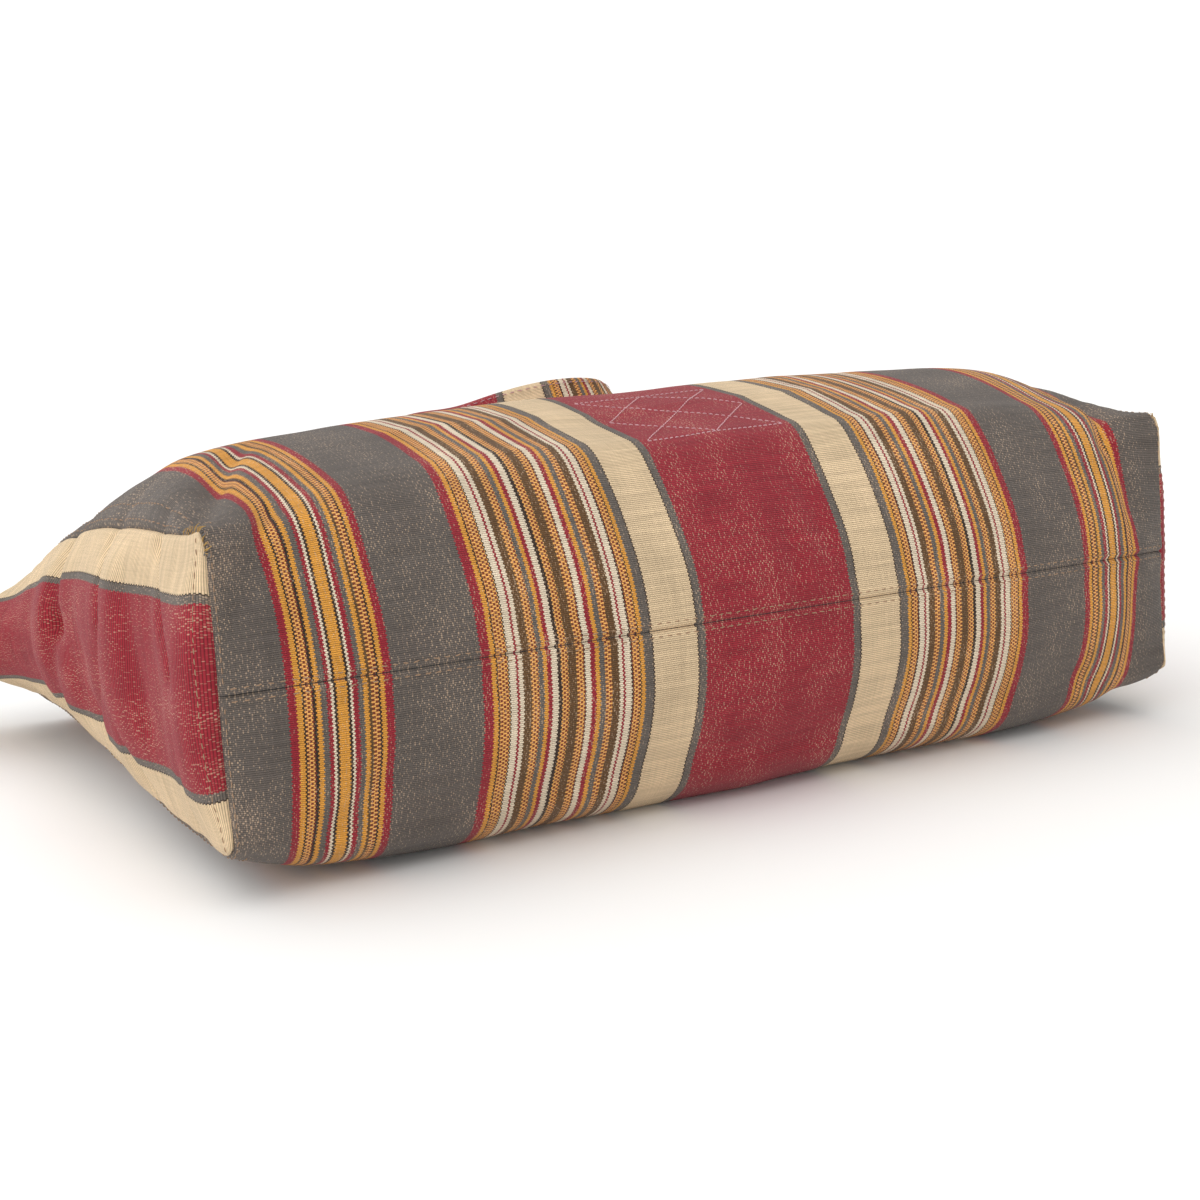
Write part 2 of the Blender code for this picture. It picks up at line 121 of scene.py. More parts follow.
# slack places of the front panel. across: -1 to 1. at: base seam to mouth. deep: share of lyingHeight
dents = [
    # across  at    wide  long  deep
    (-0.15, 0.31, 0.16, 0.07, 0.020),
    (-0.85, 0.13, 0.05, 0.11, 0.014),
    (0.83, 0.26, 0.07, 0.09, 0.016),
    (0.42, 0.60, 0.30, 0.09, 0.026),
    (-0.48, 0.66, 0.26, 0.08, 0.030),
    (0.02, 0.75, 0.22, 0.06, 0.020),
]

gusset = {
    # soft cross folds. at: base corner to mouth. out: share of gussetWidth
    "folds": [
        (0.00, 0.000), (0.02, 0.060), (0.07, 0.095), (0.15, 0.060), (0.28, 0.120), (0.43, 0.085),
        (0.55, 0.160), (0.67, 0.110), (0.78, 0.200), (0.88, 0.330), (1.00, 0.440),
    ],
    "fullEnd": 2.6,           # cross curve where it is filled
    "earEnd": 1.2,            # and at the ear
    "earStart": 0.60,
    "cornerFade": 0.10,       # where it leaves the base's curve
    "beigeStart": 40.7 * mm,
    "beigeEnd": 60.8 * mm,
}


def smoothRows(places, values, at):
    # a smooth curve through a table's rows that doesn't overshoot them
    places, values = np.asarray(places, float), np.asarray(values, float)
    at = np.clip(np.asarray(at, float), places[0], places[-1])
    step = np.diff(places)
    slope = np.diff(values) / step
    inner = (slope[:-1] * step[1:] + slope[1:] * step[:-1]) / (step[:-1] + step[1:])
    inner = np.where(slope[:-1] * slope[1:] > 0, inner, 0)
    tangent = np.concatenate([slope[:1], inner, slope[-1:]])
    row = np.clip(np.searchsorted(places, at, side="right") - 1, 0, len(places) - 2)
    t = (at - places[row]) / step[row]
    start = (2 * t**3 - 3 * t**2 + 1) * values[row]
    leave = (t**3 - 2 * t**2 + t) * step[row] * tangent[row]
    end = (3 * t**2 - 2 * t**3) * values[row + 1]
    arrive = (t**3 - t**2) * step[row] * tangent[row + 1]
    return start + leave + end + arrive


def panelRows(side):
    rows = []
    for at, yMid, zMid, yEnd, zEnd, crown in baseSections[side]:
        rows.append((at * halfBase, yMid * bag["belly"], zMid * bag["lyingHeight"],
                     yEnd * bag["belly"], middle + zEnd * bag["gussetWidth"], crown))
    for at, yMid, zMid, yEnd, zEnd, crown, lift in wallSections[side]:
        rows.append((halfBase + at * bag["panelHeight"], yMid * bag["panelHeight"],
                     zMid * bag["lyingHeight"] + lift * bag["tabLift"],
                     yEnd * bag["panelHeight"], middle + zEnd * bag["gussetWidth"], crown))
    return np.array(rows)


clothRows = {side: panelRows(side) for side in ("front", "back")}


def panelPoint(side, across, run):
    # across is -1 to 1 from seam to seam, run is the way along the cloth from the base seam
    across, run = np.broadcast_arrays(np.asarray(across, float), np.asarray(run, float))
    rows = clothRows[side]
    yMid, zMid, yEnd, zEnd, crown = (smoothRows(rows[:, 0], rows[:, k], run) for k in range(1, 6))
    reach = np.abs(across)
    fill = 1 - (1 - crown) * reach**bag["edgeRoll"] - crown * reach**bag["archPower"]
    y = yEnd + (yMid - yEnd) * fill
    z = zEnd + (zMid - zEnd) * fill
    if side == "front":
        inwards = np.radians(90) * np.clip(run / bag["gussetWidth"], 0, 1)
        depth = np.zeros_like(run)
        for place, at, wide, long, deep in dents:
            away = ((across - place) / wide)**2 + ((run / mouth - at) / long)**2
            depth = depth + deep * bag["lyingHeight"] * np.exp(-away)
        depth = depth * (1 - reach**bag["seamHold"])
        y = y + depth * np.cos(inwards)
        z = z - depth * np.sin(inwards)
    z = np.maximum(z - bag["settle"], 0)
    z = z + bag["lean"] * across * np.clip((z - middle) / middle, 0, 1)
    return np.stack([across * halfLength, y, z], -1)


def gussetPoint(end, across, at):
    # end is -1 or 1, across -1 at the back panel to 1 at the front, at 0 at the base to 1 at the mouth
    across, at = np.broadcast_arrays(np.asarray(across, float), np.asarray(at, float))
    run = halfBase + at * bag["panelHeight"]
    share = ((across + 1) / 2)[..., None]
    back = panelPoint("back", end, run)
    point = back + (panelPoint("front", end, run) - back) * share
    baseRun = np.abs(across) * halfBase
    seam = np.where((across >= 0)[..., None],
                    panelPoint("front", end, baseRun), panelPoint("back", end, baseRun))
    low = panelPoint("back", end, halfBase)
    chord = low + (panelPoint("front", end, halfBase) - low) * share
    fade = np.clip(1 - at / gusset["cornerFade"], 0, 1)**2
    point = point + (seam - chord) * fade[..., None]
    folds = np.array(gusset["folds"])
    out = smoothRows(folds[:, 0], folds[:, 1], at) * bag["gussetWidth"]
    ear = np.clip((at - gusset["earStart"]) / (1 - gusset["earStart"]), 0, 1)
    power = gusset["fullEnd"] + (gusset["earEnd"] - gusset["fullEnd"]) * ear
    point[..., 0] += end * out * (1 - np.abs(across)**power)
    return point


def unit(vectors):
    return vectors / np.maximum(np.linalg.norm(vectors, axis=-1, keepdims=True), 1e-12)


def easedSteps(length, coarse):
    # places from 0 to length, close together at both ends
    steps = []
    step = bag["fineStep"]
    while step < coarse:
        steps.append(step)
        step *= bag["growth"]
    open_ = length - 2 * sum(steps)
    count = max(1, round(open_ / coarse))
    return np.concatenate([[0], np.cumsum(steps + [open_ / count] * count + steps[::-1])])


noiseCells = 97


def softNoise(x, y, seed):
    # smooth noise from -1 to 1, about one hump per unit
    table = np.random.default_rng(seed).uniform(-1, 1, (noiseCells, noiseCells))
    xCell, yCell = np.floor(x).astype(int), np.floor(y).astype(int)
    fx, fy = x - xCell, y - yCell
    fx, fy = fx * fx * (3 - 2 * fx), fy * fy * (3 - 2 * fy)
    xNext, yNext = (xCell + 1) % noiseCells, (yCell + 1) % noiseCells
    xCell, yCell = xCell % noiseCells, yCell % noiseCells
    one = table[xCell, yCell] * (1 - fx) + table[xNext, yCell] * fx
    two = table[xCell, yNext] * (1 - fx) + table[xNext, yNext] * fx
    return one * (1 - fy) + two * fy


def gridNormals(points, sign):
    sideways = np.gradient(points, axis=1)
    onwards = np.gradient(points, axis=0)
    return unit(np.cross(sideways, onwards) * sign)


# how the sewing draws the cloth in
seams = {
    "groove": 1.1 * mm,
    "grooveWidth": 0.9 * mm,
    "welt": 0.45 * mm,        # seam allowance under the topstitches
    "weltEnd": 7.0 * mm,
    "pucker": 0.8 * mm,
    "puckerLength": 8.0 * mm,
    "puckerReach": 11.0 * mm,
    "puckerStart": 3.0 * mm,
    "mitreReach": 2.5 * mm,
    "shoulderAt": 23.0 * mm,  # soft valley beside the end seams' allowance
    "shoulderWidth": 7.0 * mm,
    "shoulderDepth": 1.6 * mm,
    "hem": 25.0 * mm,
    "hemHeight": 0.5 * mm,
    "heldReach": 6.0 * mm,    # folds die out this near a seam
    "sway": 1.0 * mm,         # slack of the panels
    "ripple": 0.35 * mm,
    "gussetSway": 1.8 * mm,
    "gussetRipple": 0.6 * mm,
    "wearReach": 2.5 * mm,    # rubbed edges
}

# folds, in millimetres on the flat cloth. A negative depth is a ridge
creases = {
    "front": [
        # x0   run0   x1   run1  width depth
        (-200, 72, -224, 30, 6.0, 3.0),      # beside the left small stripes
        (-221, 90, -190, 142, 7.0, 5.0),     # from the left corner up over the top
        (213, 98, 201, 56, 4.5, 3.6),        # along the right small stripes
        (201, 56, 207, 24, 6.0, 1.8),
        (10, 8, 12, 26, 4.0, 0.9),
        (30, 26, 27, 48, 5.0, 1.0),
        (-150, 86, 150, 80, 9.0, -1.5),      # bends over the edges of what is inside
        (-120, 126, 70, 121, 10.0, -1.2),
    ],
    "back": [
        (-170, 40, -196, 64, 7.0, 1.6),
        (150, 46, 190, 66, 8.0, 1.6),
    ],
    "left": [
        # place  run  place run  width depth
        (63, 48, 10, 24, 4.0, 3.4),
        (10, 24, -63, 32, 5.0, 1.8),
        (42, 68, -20, 58, 5.0, 1.6),
        (63, 100, 20, 92, 4.5, 4.2),
        (20, 92, -40, 118, 5.0, 2.8),
        (63, 158, 10, 152, 5.0, 5.0),
        (10, 152, -63, 168, 6.0, 4.2),
        (-63, 74, -26, 84, 5.0, 2.4),
        (-63, 116, -30, 126, 5.0, 2.4),
    ],
}
creases["right"] = creases["left"]

swells = {
    "front": [
        # x    run  wide long height
        (188, 132, 28, 36, 4.5),
        (220, 112, 9, 30, 2.5),
        (-220, 118, 9, 20, 3.0),
    ],
    "back": [],
    "left": [
        # between the folds
        (34, 74, 26, 14, 2.4),
        (24, 124, 30, 17, 3.0),
        (-14, 70, 30, 18, 1.6),
    ],
}
swells["right"] = swells["left"]

# where the gussets' folds draw their front seam in, in millimetres from the base corner
scallops = [
    # run  width depth
    (48, 5.0, 2.6),
    (100, 6.0, 3.2),
    (158, 8.0, 3.0),
]
scallopReach = 14 * mm
scallopRight = 0.4            # the right end is fuller, so less of it is drawn in
ridgeRound = 1.5              # half width of the rounding on a ridge, in millimetres


def creaseRelief(name, place, run):
    x, y = place / mm, run / mm
    relief = np.zeros(np.broadcast(x, y).shape)
    for x0, y0, x1, y1, width, depth in creases[name]:
        dx, dy = x1 - x0, y1 - y0
        length = math.hypot(dx, dy)
        along = ((x - x0) * dx + (y - y0) * dy) / length
        away = np.abs((x - x0) * dy - (y - y0) * dx) / length
        past = np.maximum(np.maximum(-along, along - length), 0)
        ends = np.exp(-(past / (1.6 * width))**2)
        if depth > 0:
            shape = np.exp(-(away / width)**2)
        else:
            shape = np.exp((ridgeRound - np.sqrt(away**2 + ridgeRound**2)) / width)
        relief = relief - depth * mm * shape * ends
    for x0, y0, wide, long, height in swells[name]:
        relief = relief + height * mm * np.exp(-((x - x0) / wide)**2 - ((y - y0) / long)**2)
    return relief


def scallopRelief(run):
    relief = np.zeros_like(run)
    for at, width, depth in scallops:
        relief -= depth * mm * np.exp(-np.abs(run / mm - at) / width)
    return relief


def seamRelief(distance, along, seed, pull=1.0):
    inGroove = np.exp(-(distance / seams["grooveWidth"])**2)
    groove = -seams["groove"] * inGroove
    welt = seams["welt"] * np.exp(-(distance / seams["weltEnd"])**4) * (1 - inGroove)
    reach = np.exp(-distance / seams["puckerReach"]) * (1 - np.exp(-(distance / seams["puckerStart"])**2))
    rough = softNoise(along / seams["puckerLength"], distance / (30 * mm), seed)
    rough = rough + 0.5 * softNoise(along / (0.45 * seams["puckerLength"]), distance / (9 * mm), seed + 1)
    return groove + welt + pull * seams["pucker"] * rough * reach


def hemRelief(toMouth):
    return seams["hemHeight"] / (1 + np.exp((toMouth - seams["hem"]) / (0.8 * mm)))


def clothGrids():
    # the four panels' outer faces as rows along the cloth and columns across it
    base = easedSteps(halfBase, bag["openStep"])
    wall = easedSteps(bag["panelHeight"], bag["openStep"])
    runs = np.concatenate([base, halfBase + wall[1:]])
    places = easedSteps(bag["baseLength"], bag["openStep"]) - halfLength
    grids = {}
    for side, sign in (("front", 1), ("back", -1)):
        plain = panelPoint(side, places[None, :] / halfLength, runs[:, None])
        grids[side] = {"plain": plain, "rows": runs, "columns": places, "sign": sign}
    for name, end, sign in (("left", -1, 1), ("right", 1, -1)):
        place = np.concatenate([-base[::-1], base[1:]])
        plain = gussetPoint(end, place[None, :] / halfBase, wall[:, None] / bag["panelHeight"])
        grids[name] = {"plain": plain, "rows": halfBase + wall, "columns": place, "sign": sign}
    for grid in grids.values():
        grid["normals"] = gridNormals(grid["plain"], grid["sign"])
    return grids, len(base) - 1


def mitreNormals(grids, corner):
    # the direction in which both cloths of a seam are drawn in
    for grid in grids.values():
        grid["mitre"] = {}
    front, back = grids["front"], grids["back"]
    both = unit(front["normals"][0] + back["normals"][0])
    front["mitre"]["first"] = back["mitre"]["first"] = both
    for name, column in (("left", 0), ("right", -1)):
        end = grids[name]
        baseNormals = {"front": end["normals"][0, corner:], "back": end["normals"][0, corner::-1]}
        wallNormals = {"front": end["normals"][:, -1], "back": end["normals"][:, 0]}
        line = {}
        for side in ("front", "back"):
            other = np.concatenate([baseNormals[side], wallNormals[side][1:]])
            line[side] = unit(grids[side]["normals"][:, column] + other)
        meet = unit(line["front"][0] + line["back"][0])
        line["front"][0] = line["back"][0] = meet
        for side in ("front", "back"):
            grids[side]["mitre"][name] = line[side]
            grids[side]["mitre"]["first"][column] = meet
        end["mitre"]["front"] = line["front"][corner:]
        end["mitre"]["back"] = line["back"][corner:]
        end["mitre"]["first"] = np.concatenate([line["back"][corner:0:-1], line["front"][:corner + 1]])


def pullTowards(direction, mitre, distance):
    weight = np.exp(-(distance / seams["mitreReach"])**2)[..., None]
    return direction + (mitre - direction) * weight


def dressPanels(grids):
    for number, side in enumerate(("front", "back")):
        grid = grids[side]
        run, x = np.meshgrid(grid["rows"], grid["columns"], indexing="ij")
        toEnd = halfLength - np.abs(x)
        relief = seamRelief(run, x, 11, 0.35)
        relief += seamRelief(toEnd, run * np.where(x < 0, 1, -1) + 3, 21 + number)
        closeness = np.exp(-(run / seams["grooveWidth"])**2) * np.exp(-(toEnd / seams["grooveWidth"])**2)
        relief += seams["groove"] * closeness
        shoulder = np.exp(-((toEnd - seams["shoulderAt"]) / seams["shoulderWidth"])**2)
        strength = 0.55 + 0.45 * softNoise(run / (40 * mm), np.sign(x) * 3 + 5, 31)
        relief -= seams["shoulderDepth"] * shoulder * strength * np.clip(run / (20 * mm), 0, 1)
        calm = np.clip(toEnd / (20 * mm), 0, 1) * np.clip(run / (12 * mm), 0, 1)
        relief += seams["sway"] * softNoise(x / (48 * mm) + 9, run / (60 * mm), 41 + number) * calm
        relief += seams["ripple"] * softNoise(x / (17 * mm), run / (26 * mm) + 7, 43 + number) * calm
        relief += hemRelief(mouth - run)
        held = np.clip(toEnd / seams["heldReach"], 0, 1) * np.clip(run / seams["heldReach"], 0, 1)
        relief += creaseRelief(side, x, run) * held
        if side == "front":
            strength = np.where(x < 0, 1.0, scallopRight)
            relief += scallopRelief(run - halfBase) * strength * np.exp(-toEnd / scallopReach)
        direction = grid["normals"].copy()
        direction = pullTowards(direction, grid["mitre"]["first"][None, :], run)
        for name, sign in (("left", -1), ("right", 1)):
            direction = pullTowards(direction, grid["mitre"][name][:, None], halfLength - sign * x)
        points = grid["plain"] + unit(direction) * relief[..., None]
        points[..., 2] = np.maximum(points[..., 2], 0.0002 if side == "back" else -1)
        grid["points"] = points
        near = np.minimum(np.minimum(run, toEnd), mouth - run)
        grid["wear"] = np.exp(-near / seams["wearReach"])


def dressGussets(grids):
    for number, (name, end) in enumerate((("left", -1), ("right", 1))):
        grid = grids[name]
        run, place = np.meshgrid(grid["rows"] - halfBase, grid["columns"], indexing="ij")
        toFront, toBack = halfBase - place, halfBase + place
        toSeam = np.minimum(toFront, toBack)
        relief = seamRelief(toFront, run + 1, 51 + number)
        relief += seamRelief(toBack, run + 2, 53 + number)
        relief += seamRelief(run, place + 3, 55 + number, 0.5)
        closeness = np.exp(-(run / seams["grooveWidth"])**2) * np.exp(-(toSeam / seams["grooveWidth"])**2)
        relief += seams["groove"] * closeness
        calm = np.clip(toSeam / (14 * mm), 0, 1) * np.clip(run / (10 * mm), 0, 1)
        sway = softNoise(run / (19 * mm) + 4, place / (70 * mm) + 2, 57 + number)
        relief += seams["gussetSway"] * sway * calm
        relief += seams["gussetRipple"] * softNoise(run / (8 * mm), place / (26 * mm), 59 + number) * calm
        relief += hemRelief(bag["panelHeight"] - run)
        held = np.clip(toSeam / seams["heldReach"], 0, 1) * np.clip(run / seams["heldReach"], 0, 1)
        relief += creaseRelief(name, place, run) * held
        strength = 1.0 if end < 0 else scallopRight
        relief += scallopRelief(run) * strength * np.exp(-toFront / scallopReach)
        direction = pullTowards(grid["normals"].copy(), grid["mitre"]["first"][None, :], run)
        direction = pullTowards(direction, grid["mitre"]["front"][:, None], toFront)
        direction = pullTowards(direction, grid["mitre"]["back"][:, None], toBack)
        grid["points"] = grid["plain"] + unit(direction) * relief[..., None]
        near = np.minimum(np.minimum(run, toSeam), bag["panelHeight"] - run)
        grid["wear"] = np.exp(-near / seams["wearReach"])


grids, cornerIndex = clothGrids()
mitreNormals(grids, cornerIndex)
dressPanels(grids)
dressGussets(grids)

# the frame says where the tables' Y = 0 lies
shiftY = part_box("body_front")[0][1] - grids["front"]["plain"][..., 1].min()
for grid in grids.values():
    grid["points"][..., 1] += shiftY
    grid["normals"] = gridNormals(grid["points"], grid["sign"])
print("cloth worked out, shift", round(shiftY, 4))


def hexColour(text):
    # sRGB hex to the linear colour that a shader takes
    channels = [int(text[k:k + 2], 16) / 255 for k in (1, 3, 5)]
    return [c / 12.92 if c <= 0.04045 else ((c + 0.055) / 1.055)**2.4 for c in channels] + [1.0]


def addNode(tree, kind, settings, inputs, output=0):
    # one node with its settings and links; sockets are linked and numbers are set
    node = tree.nodes.new(kind)
    for name, value in settings.items():
        setattr(node, name, value)
    for key, value in inputs.items():
        if isinstance(value, bpy.types.NodeSocket):
            tree.links.new(value, node.inputs[key])
        else:
            node.inputs[key].default_value = value
    return node.outputs[output]


def newMaterial(name):
    material = bpy.data.materials.new(name)
    material.use_nodes = True
    tree = material.node_tree
    return material, tree, tree.nodes["Principled BSDF"]


# warp-faced cotton rep: the dyed warp makes the stripes and hides all but specks of the tan weft
rep = {
    "yarns": {
        "wine": "#90242F",
        "grey": "#5F5751",
        "slate": "#635B54",
        "beige": "#D2B995",
        "cream": "#D8C8AF",
        "ochre": "#D0913A",
        "brown": "#614528",
        "dark": "#38281E",
    },
    "checkGround": "#DDA057",
    "checkDot": "#74301F",
    "weft": "#CDB093",
    "rib": 0.82,              # millimetres from rib to rib
    "warp": 0.42,             # from warp thread to warp thread
    "checkColumn": 1.25,
    "ribHeight": 0.16,
    "drift": 0.6,             # the stripes wander this far to each side
    "speck": 0.85,
    "roughness": 0.88,
    # stripes from the middle of the cloth outwards, in millimetres
    "chart": [
        [("wine", 36.7), ("slate", 3.5), ("dark", 0.5), ("beige", 20.4), ("dark", 0.6), ("slate", 3.9)],
        [("ochre", 1.6), ("dark", 0.6), ("check", 3.1), ("dark", 0.6), ("cream", 2.8), ("wine", 0.9),
         ("cream", 1.6), ("brown", 3.2), ("check", 2.7), ("slate", 2.3), ("ochre", 1.8), ("wine", 2.1),
         ("cream", 2.5), ("dark", 0.4), ("check", 3.2), ("brown", 4.0)],
        [("check", 2.8), ("dark", 1.6), ("cream", 2.6), ("wine", 1.8), ("ochre", 1.7), ("slate", 2.0),
         ("check", 3.0), ("brown", 3.3), ("cream", 1.9), ("wine", 0.9), ("cream", 2.7), ("dark", 0.6),
         ("check", 3.9), ("dark", 0.6), ("ochre", 1.9), ("wine", 3.8)],
        [("grey", 35.5)],
        [("wine", 3.0), ("ochre", 1.8), ("dark", 0.7), ("check", 2.6), ("brown", 1.1), ("ochre", 1.9),
         ("slate", 1.9), ("wine", 1.9), ("cream", 1.0), ("dark", 1.0), ("ochre", 4.0), ("dark", 1.1),
         ("cream", 1.1), ("wine", 1.5), ("slate", 2.2), ("ochre", 1.8), ("dark", 1.2), ("check", 2.9),
         ("dark", 0.7), ("ochre", 2.1), ("wine", 2.9)],
        [("grey", 24.0)],
    ],
}


def chartRamp(tree, across, stripes, start):
    length = sum(width for yarn, width in stripes)
    factor = addNode(tree, "ShaderNodeMapRange", {}, {0: across, 1: start, 2: start + length})
    colour = addNode(tree, "ShaderNodeValToRGB", {}, {0: factor})
    ramp = colour.node.color_ramp
    ramp.interpolation = "CONSTANT"
    place = 0.0
    for number, (yarn, width) in enumerate(stripes):
        stop = ramp.elements[0] if number == 0 else ramp.elements.new(place / length)
        shade = rep["checkGround"] if yarn == "check" else rep["yarns"][yarn]
        stop.color = hexColour(shade)[:3] + [0.0 if yarn == "check" else 1.0]
        place += width
    ramp.elements.remove(ramp.elements[-1])
    return colour, colour.node.outputs[1]


def unevenness(tree, flat, uLength, vLength, detail):
    # noise whose humps are so many millimetres across and along the cloth
    place = addNode(tree, "ShaderNodeVectorMath", {"operation": "MULTIPLY"},
                    {0: flat, 1: (1 / uLength, 1 / vLength, 0)})
    return addNode(tree, "ShaderNodeTexNoise", {"noise_dimensions": "2D"},
                   {"Vector": place, "Scale": 1.0, "Detail": detail})


def clothMaterial(name):
    material, tree, shader = newMaterial(name)
    calc, vector, mix = "ShaderNodeMath", "ShaderNodeVectorMath", "ShaderNodeMix"
    uv = addNode(tree, "ShaderNodeUVMap", {"uv_map": "cloth"}, {})
    flat = addNode(tree, vector, {"operation": "MULTIPLY"}, {0: uv, 1: (1000, 1000, 0)})
    split = addNode(tree, "ShaderNodeSeparateXYZ", {}, {0: flat})
    u, v = split, split.node.outputs[1]

    # the stripes wander a little, as hand-set warp does
    drift = unevenness(tree, flat, 30, 70, 1.0)
    drift = addNode(tree, "ShaderNodeMapRange", {},
                    {0: drift, 1: 0.0, 2: 1.0, 3: -rep["drift"], 4: rep["drift"]})
    drifted = addNode(tree, calc, {"operation": "ADD"}, {0: u, 1: drift})
    across = addNode(tree, calc, {"operation": "ABSOLUTE"}, {0: drifted})

    # two sets of warp threads take turns on the ribs, which makes the stripes' edges toothed
    ribPlace = addNode(tree, calc, {"operation": "DIVIDE"}, {0: v, 1: rep["rib"]})
    ribRow = addNode(tree, calc, {"operation": "FLOOR"}, {0: ribPlace})
    turn = addNode(tree, calc, {"operation": "FLOORED_MODULO"}, {0: ribRow, 1: 2.0})
    tooth = addNode(tree, calc, {"operation": "MULTIPLY_ADD"}, {0: turn, 1: rep["warp"], 2: across})

    border = 0.0
    for number, stripes in enumerate(rep["chart"]):
        nextColour, nextPlain = chartRamp(tree, tooth, stripes, border)
        if number == 0:
            colour, plain = nextColour, nextPlain
        else:
            beyond = addNode(tree, calc, {"operation": "GREATER_THAN"}, {0: tooth, 1: border})
            colour = addNode(tree, mix, {"data_type": "RGBA"}, {0: beyond, 6: colour, 7: nextColour}, 2)
            plain = addNode(tree, mix, {"data_type": "FLOAT"}, {0: beyond, 2: plain, 3: nextPlain})
        border += sum(width for yarn, width in stripes)

    # check: dark threads show in every second column on every second rib
    column = addNode(tree, calc, {"operation": "DIVIDE"}, {0: across, 1: rep["checkColumn"]})
    columnRow = addNode(tree, calc, {"operation": "FLOOR"}, {0: column})
    columnTurn = addNode(tree, calc, {"operation": "FLOORED_MODULO"}, {0: columnRow, 1: 2.0})
    dot = addNode(tree, calc, {"operation": "COMPARE"}, {0: columnTurn, 1: turn, 2: 0.1})
    dotPlace = addNode(tree, calc, {"operation": "PINGPONG"}, {0: column, 1: 0.5})
    dotWide = addNode(tree, calc, {"operation": "GREATER_THAN"}, {0: dotPlace, 1: 0.13})
    dot = addNode(tree, calc, {"operation": "MULTIPLY"}, {0: dot, 1: dotWide})
    checkOnly = addNode(tree, calc, {"operation": "SUBTRACT"}, {0: 1.0, 1: plain})
    dot = addNode(tree, calc, {"operation": "MULTIPLY"}, {0: dot, 1: checkOnly})
    colour = addNode(tree, mix, {"data_type": "RGBA"}, {0: dot, 6: colour, 7: hexColour(rep["checkDot"])}, 2)

    # specks of weft between the warp threads, a rib high, more of them where the cloth has been rubbed
    speckPlace = addNode(tree, calc, {"operation": "DIVIDE"}, {0: u, 1: rep["speck"]})
    speckPlace = addNode(tree, "ShaderNodeCombineXYZ", {}, {0: speckPlace, 1: ribRow})
    grain = unevenness(tree, speckPlace, 1, 1, 1.0)
    zone = unevenness(tree, flat, 24, 36, 3.0)
    wear = addNode(tree, "ShaderNodeAttribute", {"attribute_name": "wear"}, {}, 2)
    edge = addNode(tree, calc, {"operation": "MULTIPLY_ADD"}, {0: zone, 1: -0.28, 2: 0.72})
    edge = addNode(tree, calc, {"operation": "MULTIPLY_ADD"}, {0: wear, 1: -0.07, 2: edge})
    edgeTop = addNode(tree, calc, {"operation": "ADD"}, {0: edge, 1: 0.16})
    speck = addNode(tree, "ShaderNodeMapRange", {}, {0: grain, 1: edge, 2: edgeTop, 3: 0.0, 4: 0.52})
    colour = addNode(tree, mix, {"data_type": "RGBA"}, {0: speck, 6: colour, 7: hexColour(rep["weft"])}, 2)

    # uneven dye: fine streaks along the warp, bars along the weft and a slow fading
    warpStreak = unevenness(tree, flat, 0.7, 26, 2.0)
    weftBar = unevenness(tree, flat, 34, 1.9, 2.0)
    fade = addNode(tree, calc, {"operation": "MULTIPLY_ADD"}, {0: warpStreak, 1: 0.30, 2: 0.49})
    fade = addNode(tree, calc, {"operation": "MULTIPLY_ADD"}, {0: weftBar, 1: 0.46, 2: fade})
    fade = addNode(tree, calc, {"operation": "MULTIPLY_ADD"}, {0: zone, 1: 0.34, 2: fade})

    # ribs: rounded; painted shade darkens the valleys between them and the gaps between the warp threads,
    # and painted highlight lightens the rib crests
    ribTurn = addNode(tree, calc, {"operation": "MULTIPLY"}, {0: ribPlace, 1: math.pi})
    ribWave = addNode(tree, calc, {"operation": "SINE"}, {0: ribTurn})
    ribWave = addNode(tree, calc, {"operation": "ABSOLUTE"}, {0: ribWave})
    threadPlace = addNode(tree, calc, {"operation": "DIVIDE"}, {0: u, 1: rep["warp"]})
    threadPlace = addNode(tree, calc, {"operation": "MULTIPLY_ADD"}, {0: turn, 1: 0.5, 2: threadPlace})
    threadTurn = addNode(tree, calc, {"operation": "MULTIPLY"}, {0: threadPlace, 1: math.pi})
    threadWave = addNode(tree, calc, {"operation": "SINE"}, {0: threadTurn})
    threadWave = addNode(tree, calc, {"operation": "ABSOLUTE"}, {0: threadWave})
    shade = addNode(tree, "ShaderNodeMapRange", {}, {0: ribWave, 1: 0.0, 2: 0.8, 3: 0.40, 4: 1.12})
    shade = addNode(tree, calc, {"operation": "MULTIPLY"}, {0: shade, 1: fade})
    threadShade = addNode(tree, calc, {"operation": "MULTIPLY_ADD"}, {0: threadWave, 1: 0.16, 2: 0.90})
    shade = addNode(tree, calc, {"operation": "MULTIPLY"}, {0: shade, 1: threadShade})
    # the colour takes the painted rib and thread shade and highlight, and the uneven dye
    colour = addNode(tree, vector, {"operation": "SCALE"}, {0: colour, 3: shade})

    height = addNode(tree, calc, {"operation": "MULTIPLY"}, {0: ribWave, 1: rep["ribHeight"]})
    height = addNode(tree, calc, {"operation": "MULTIPLY_ADD"}, {0: threadWave, 1: 0.04, 2: height})
    height = addNode(tree, calc, {"operation": "MULTIPLY_ADD"}, {0: weftBar, 1: 0.16, 2: height})
    height = addNode(tree, calc, {"operation": "MULTIPLY_ADD"}, {0: grain, 1: 0.10, 2: height})
    bump = addNode(tree, "ShaderNodeBump", {}, {"Height": height, "Distance": mm, "Strength": 1.0})

    tree.links.new(colour, shader.inputs["Base Color"])
    tree.links.new(bump, shader.inputs["Normal"])
    shader.inputs["Roughness"].default_value = rep["roughness"]
    shader.inputs["Specular IOR Level"].default_value = 0.25
    shader.inputs["Sheen Weight"].default_value = 0.12   # fuzz of worn cotton
    shader.inputs["Sheen Roughness"].default_value = 0.5
    return material


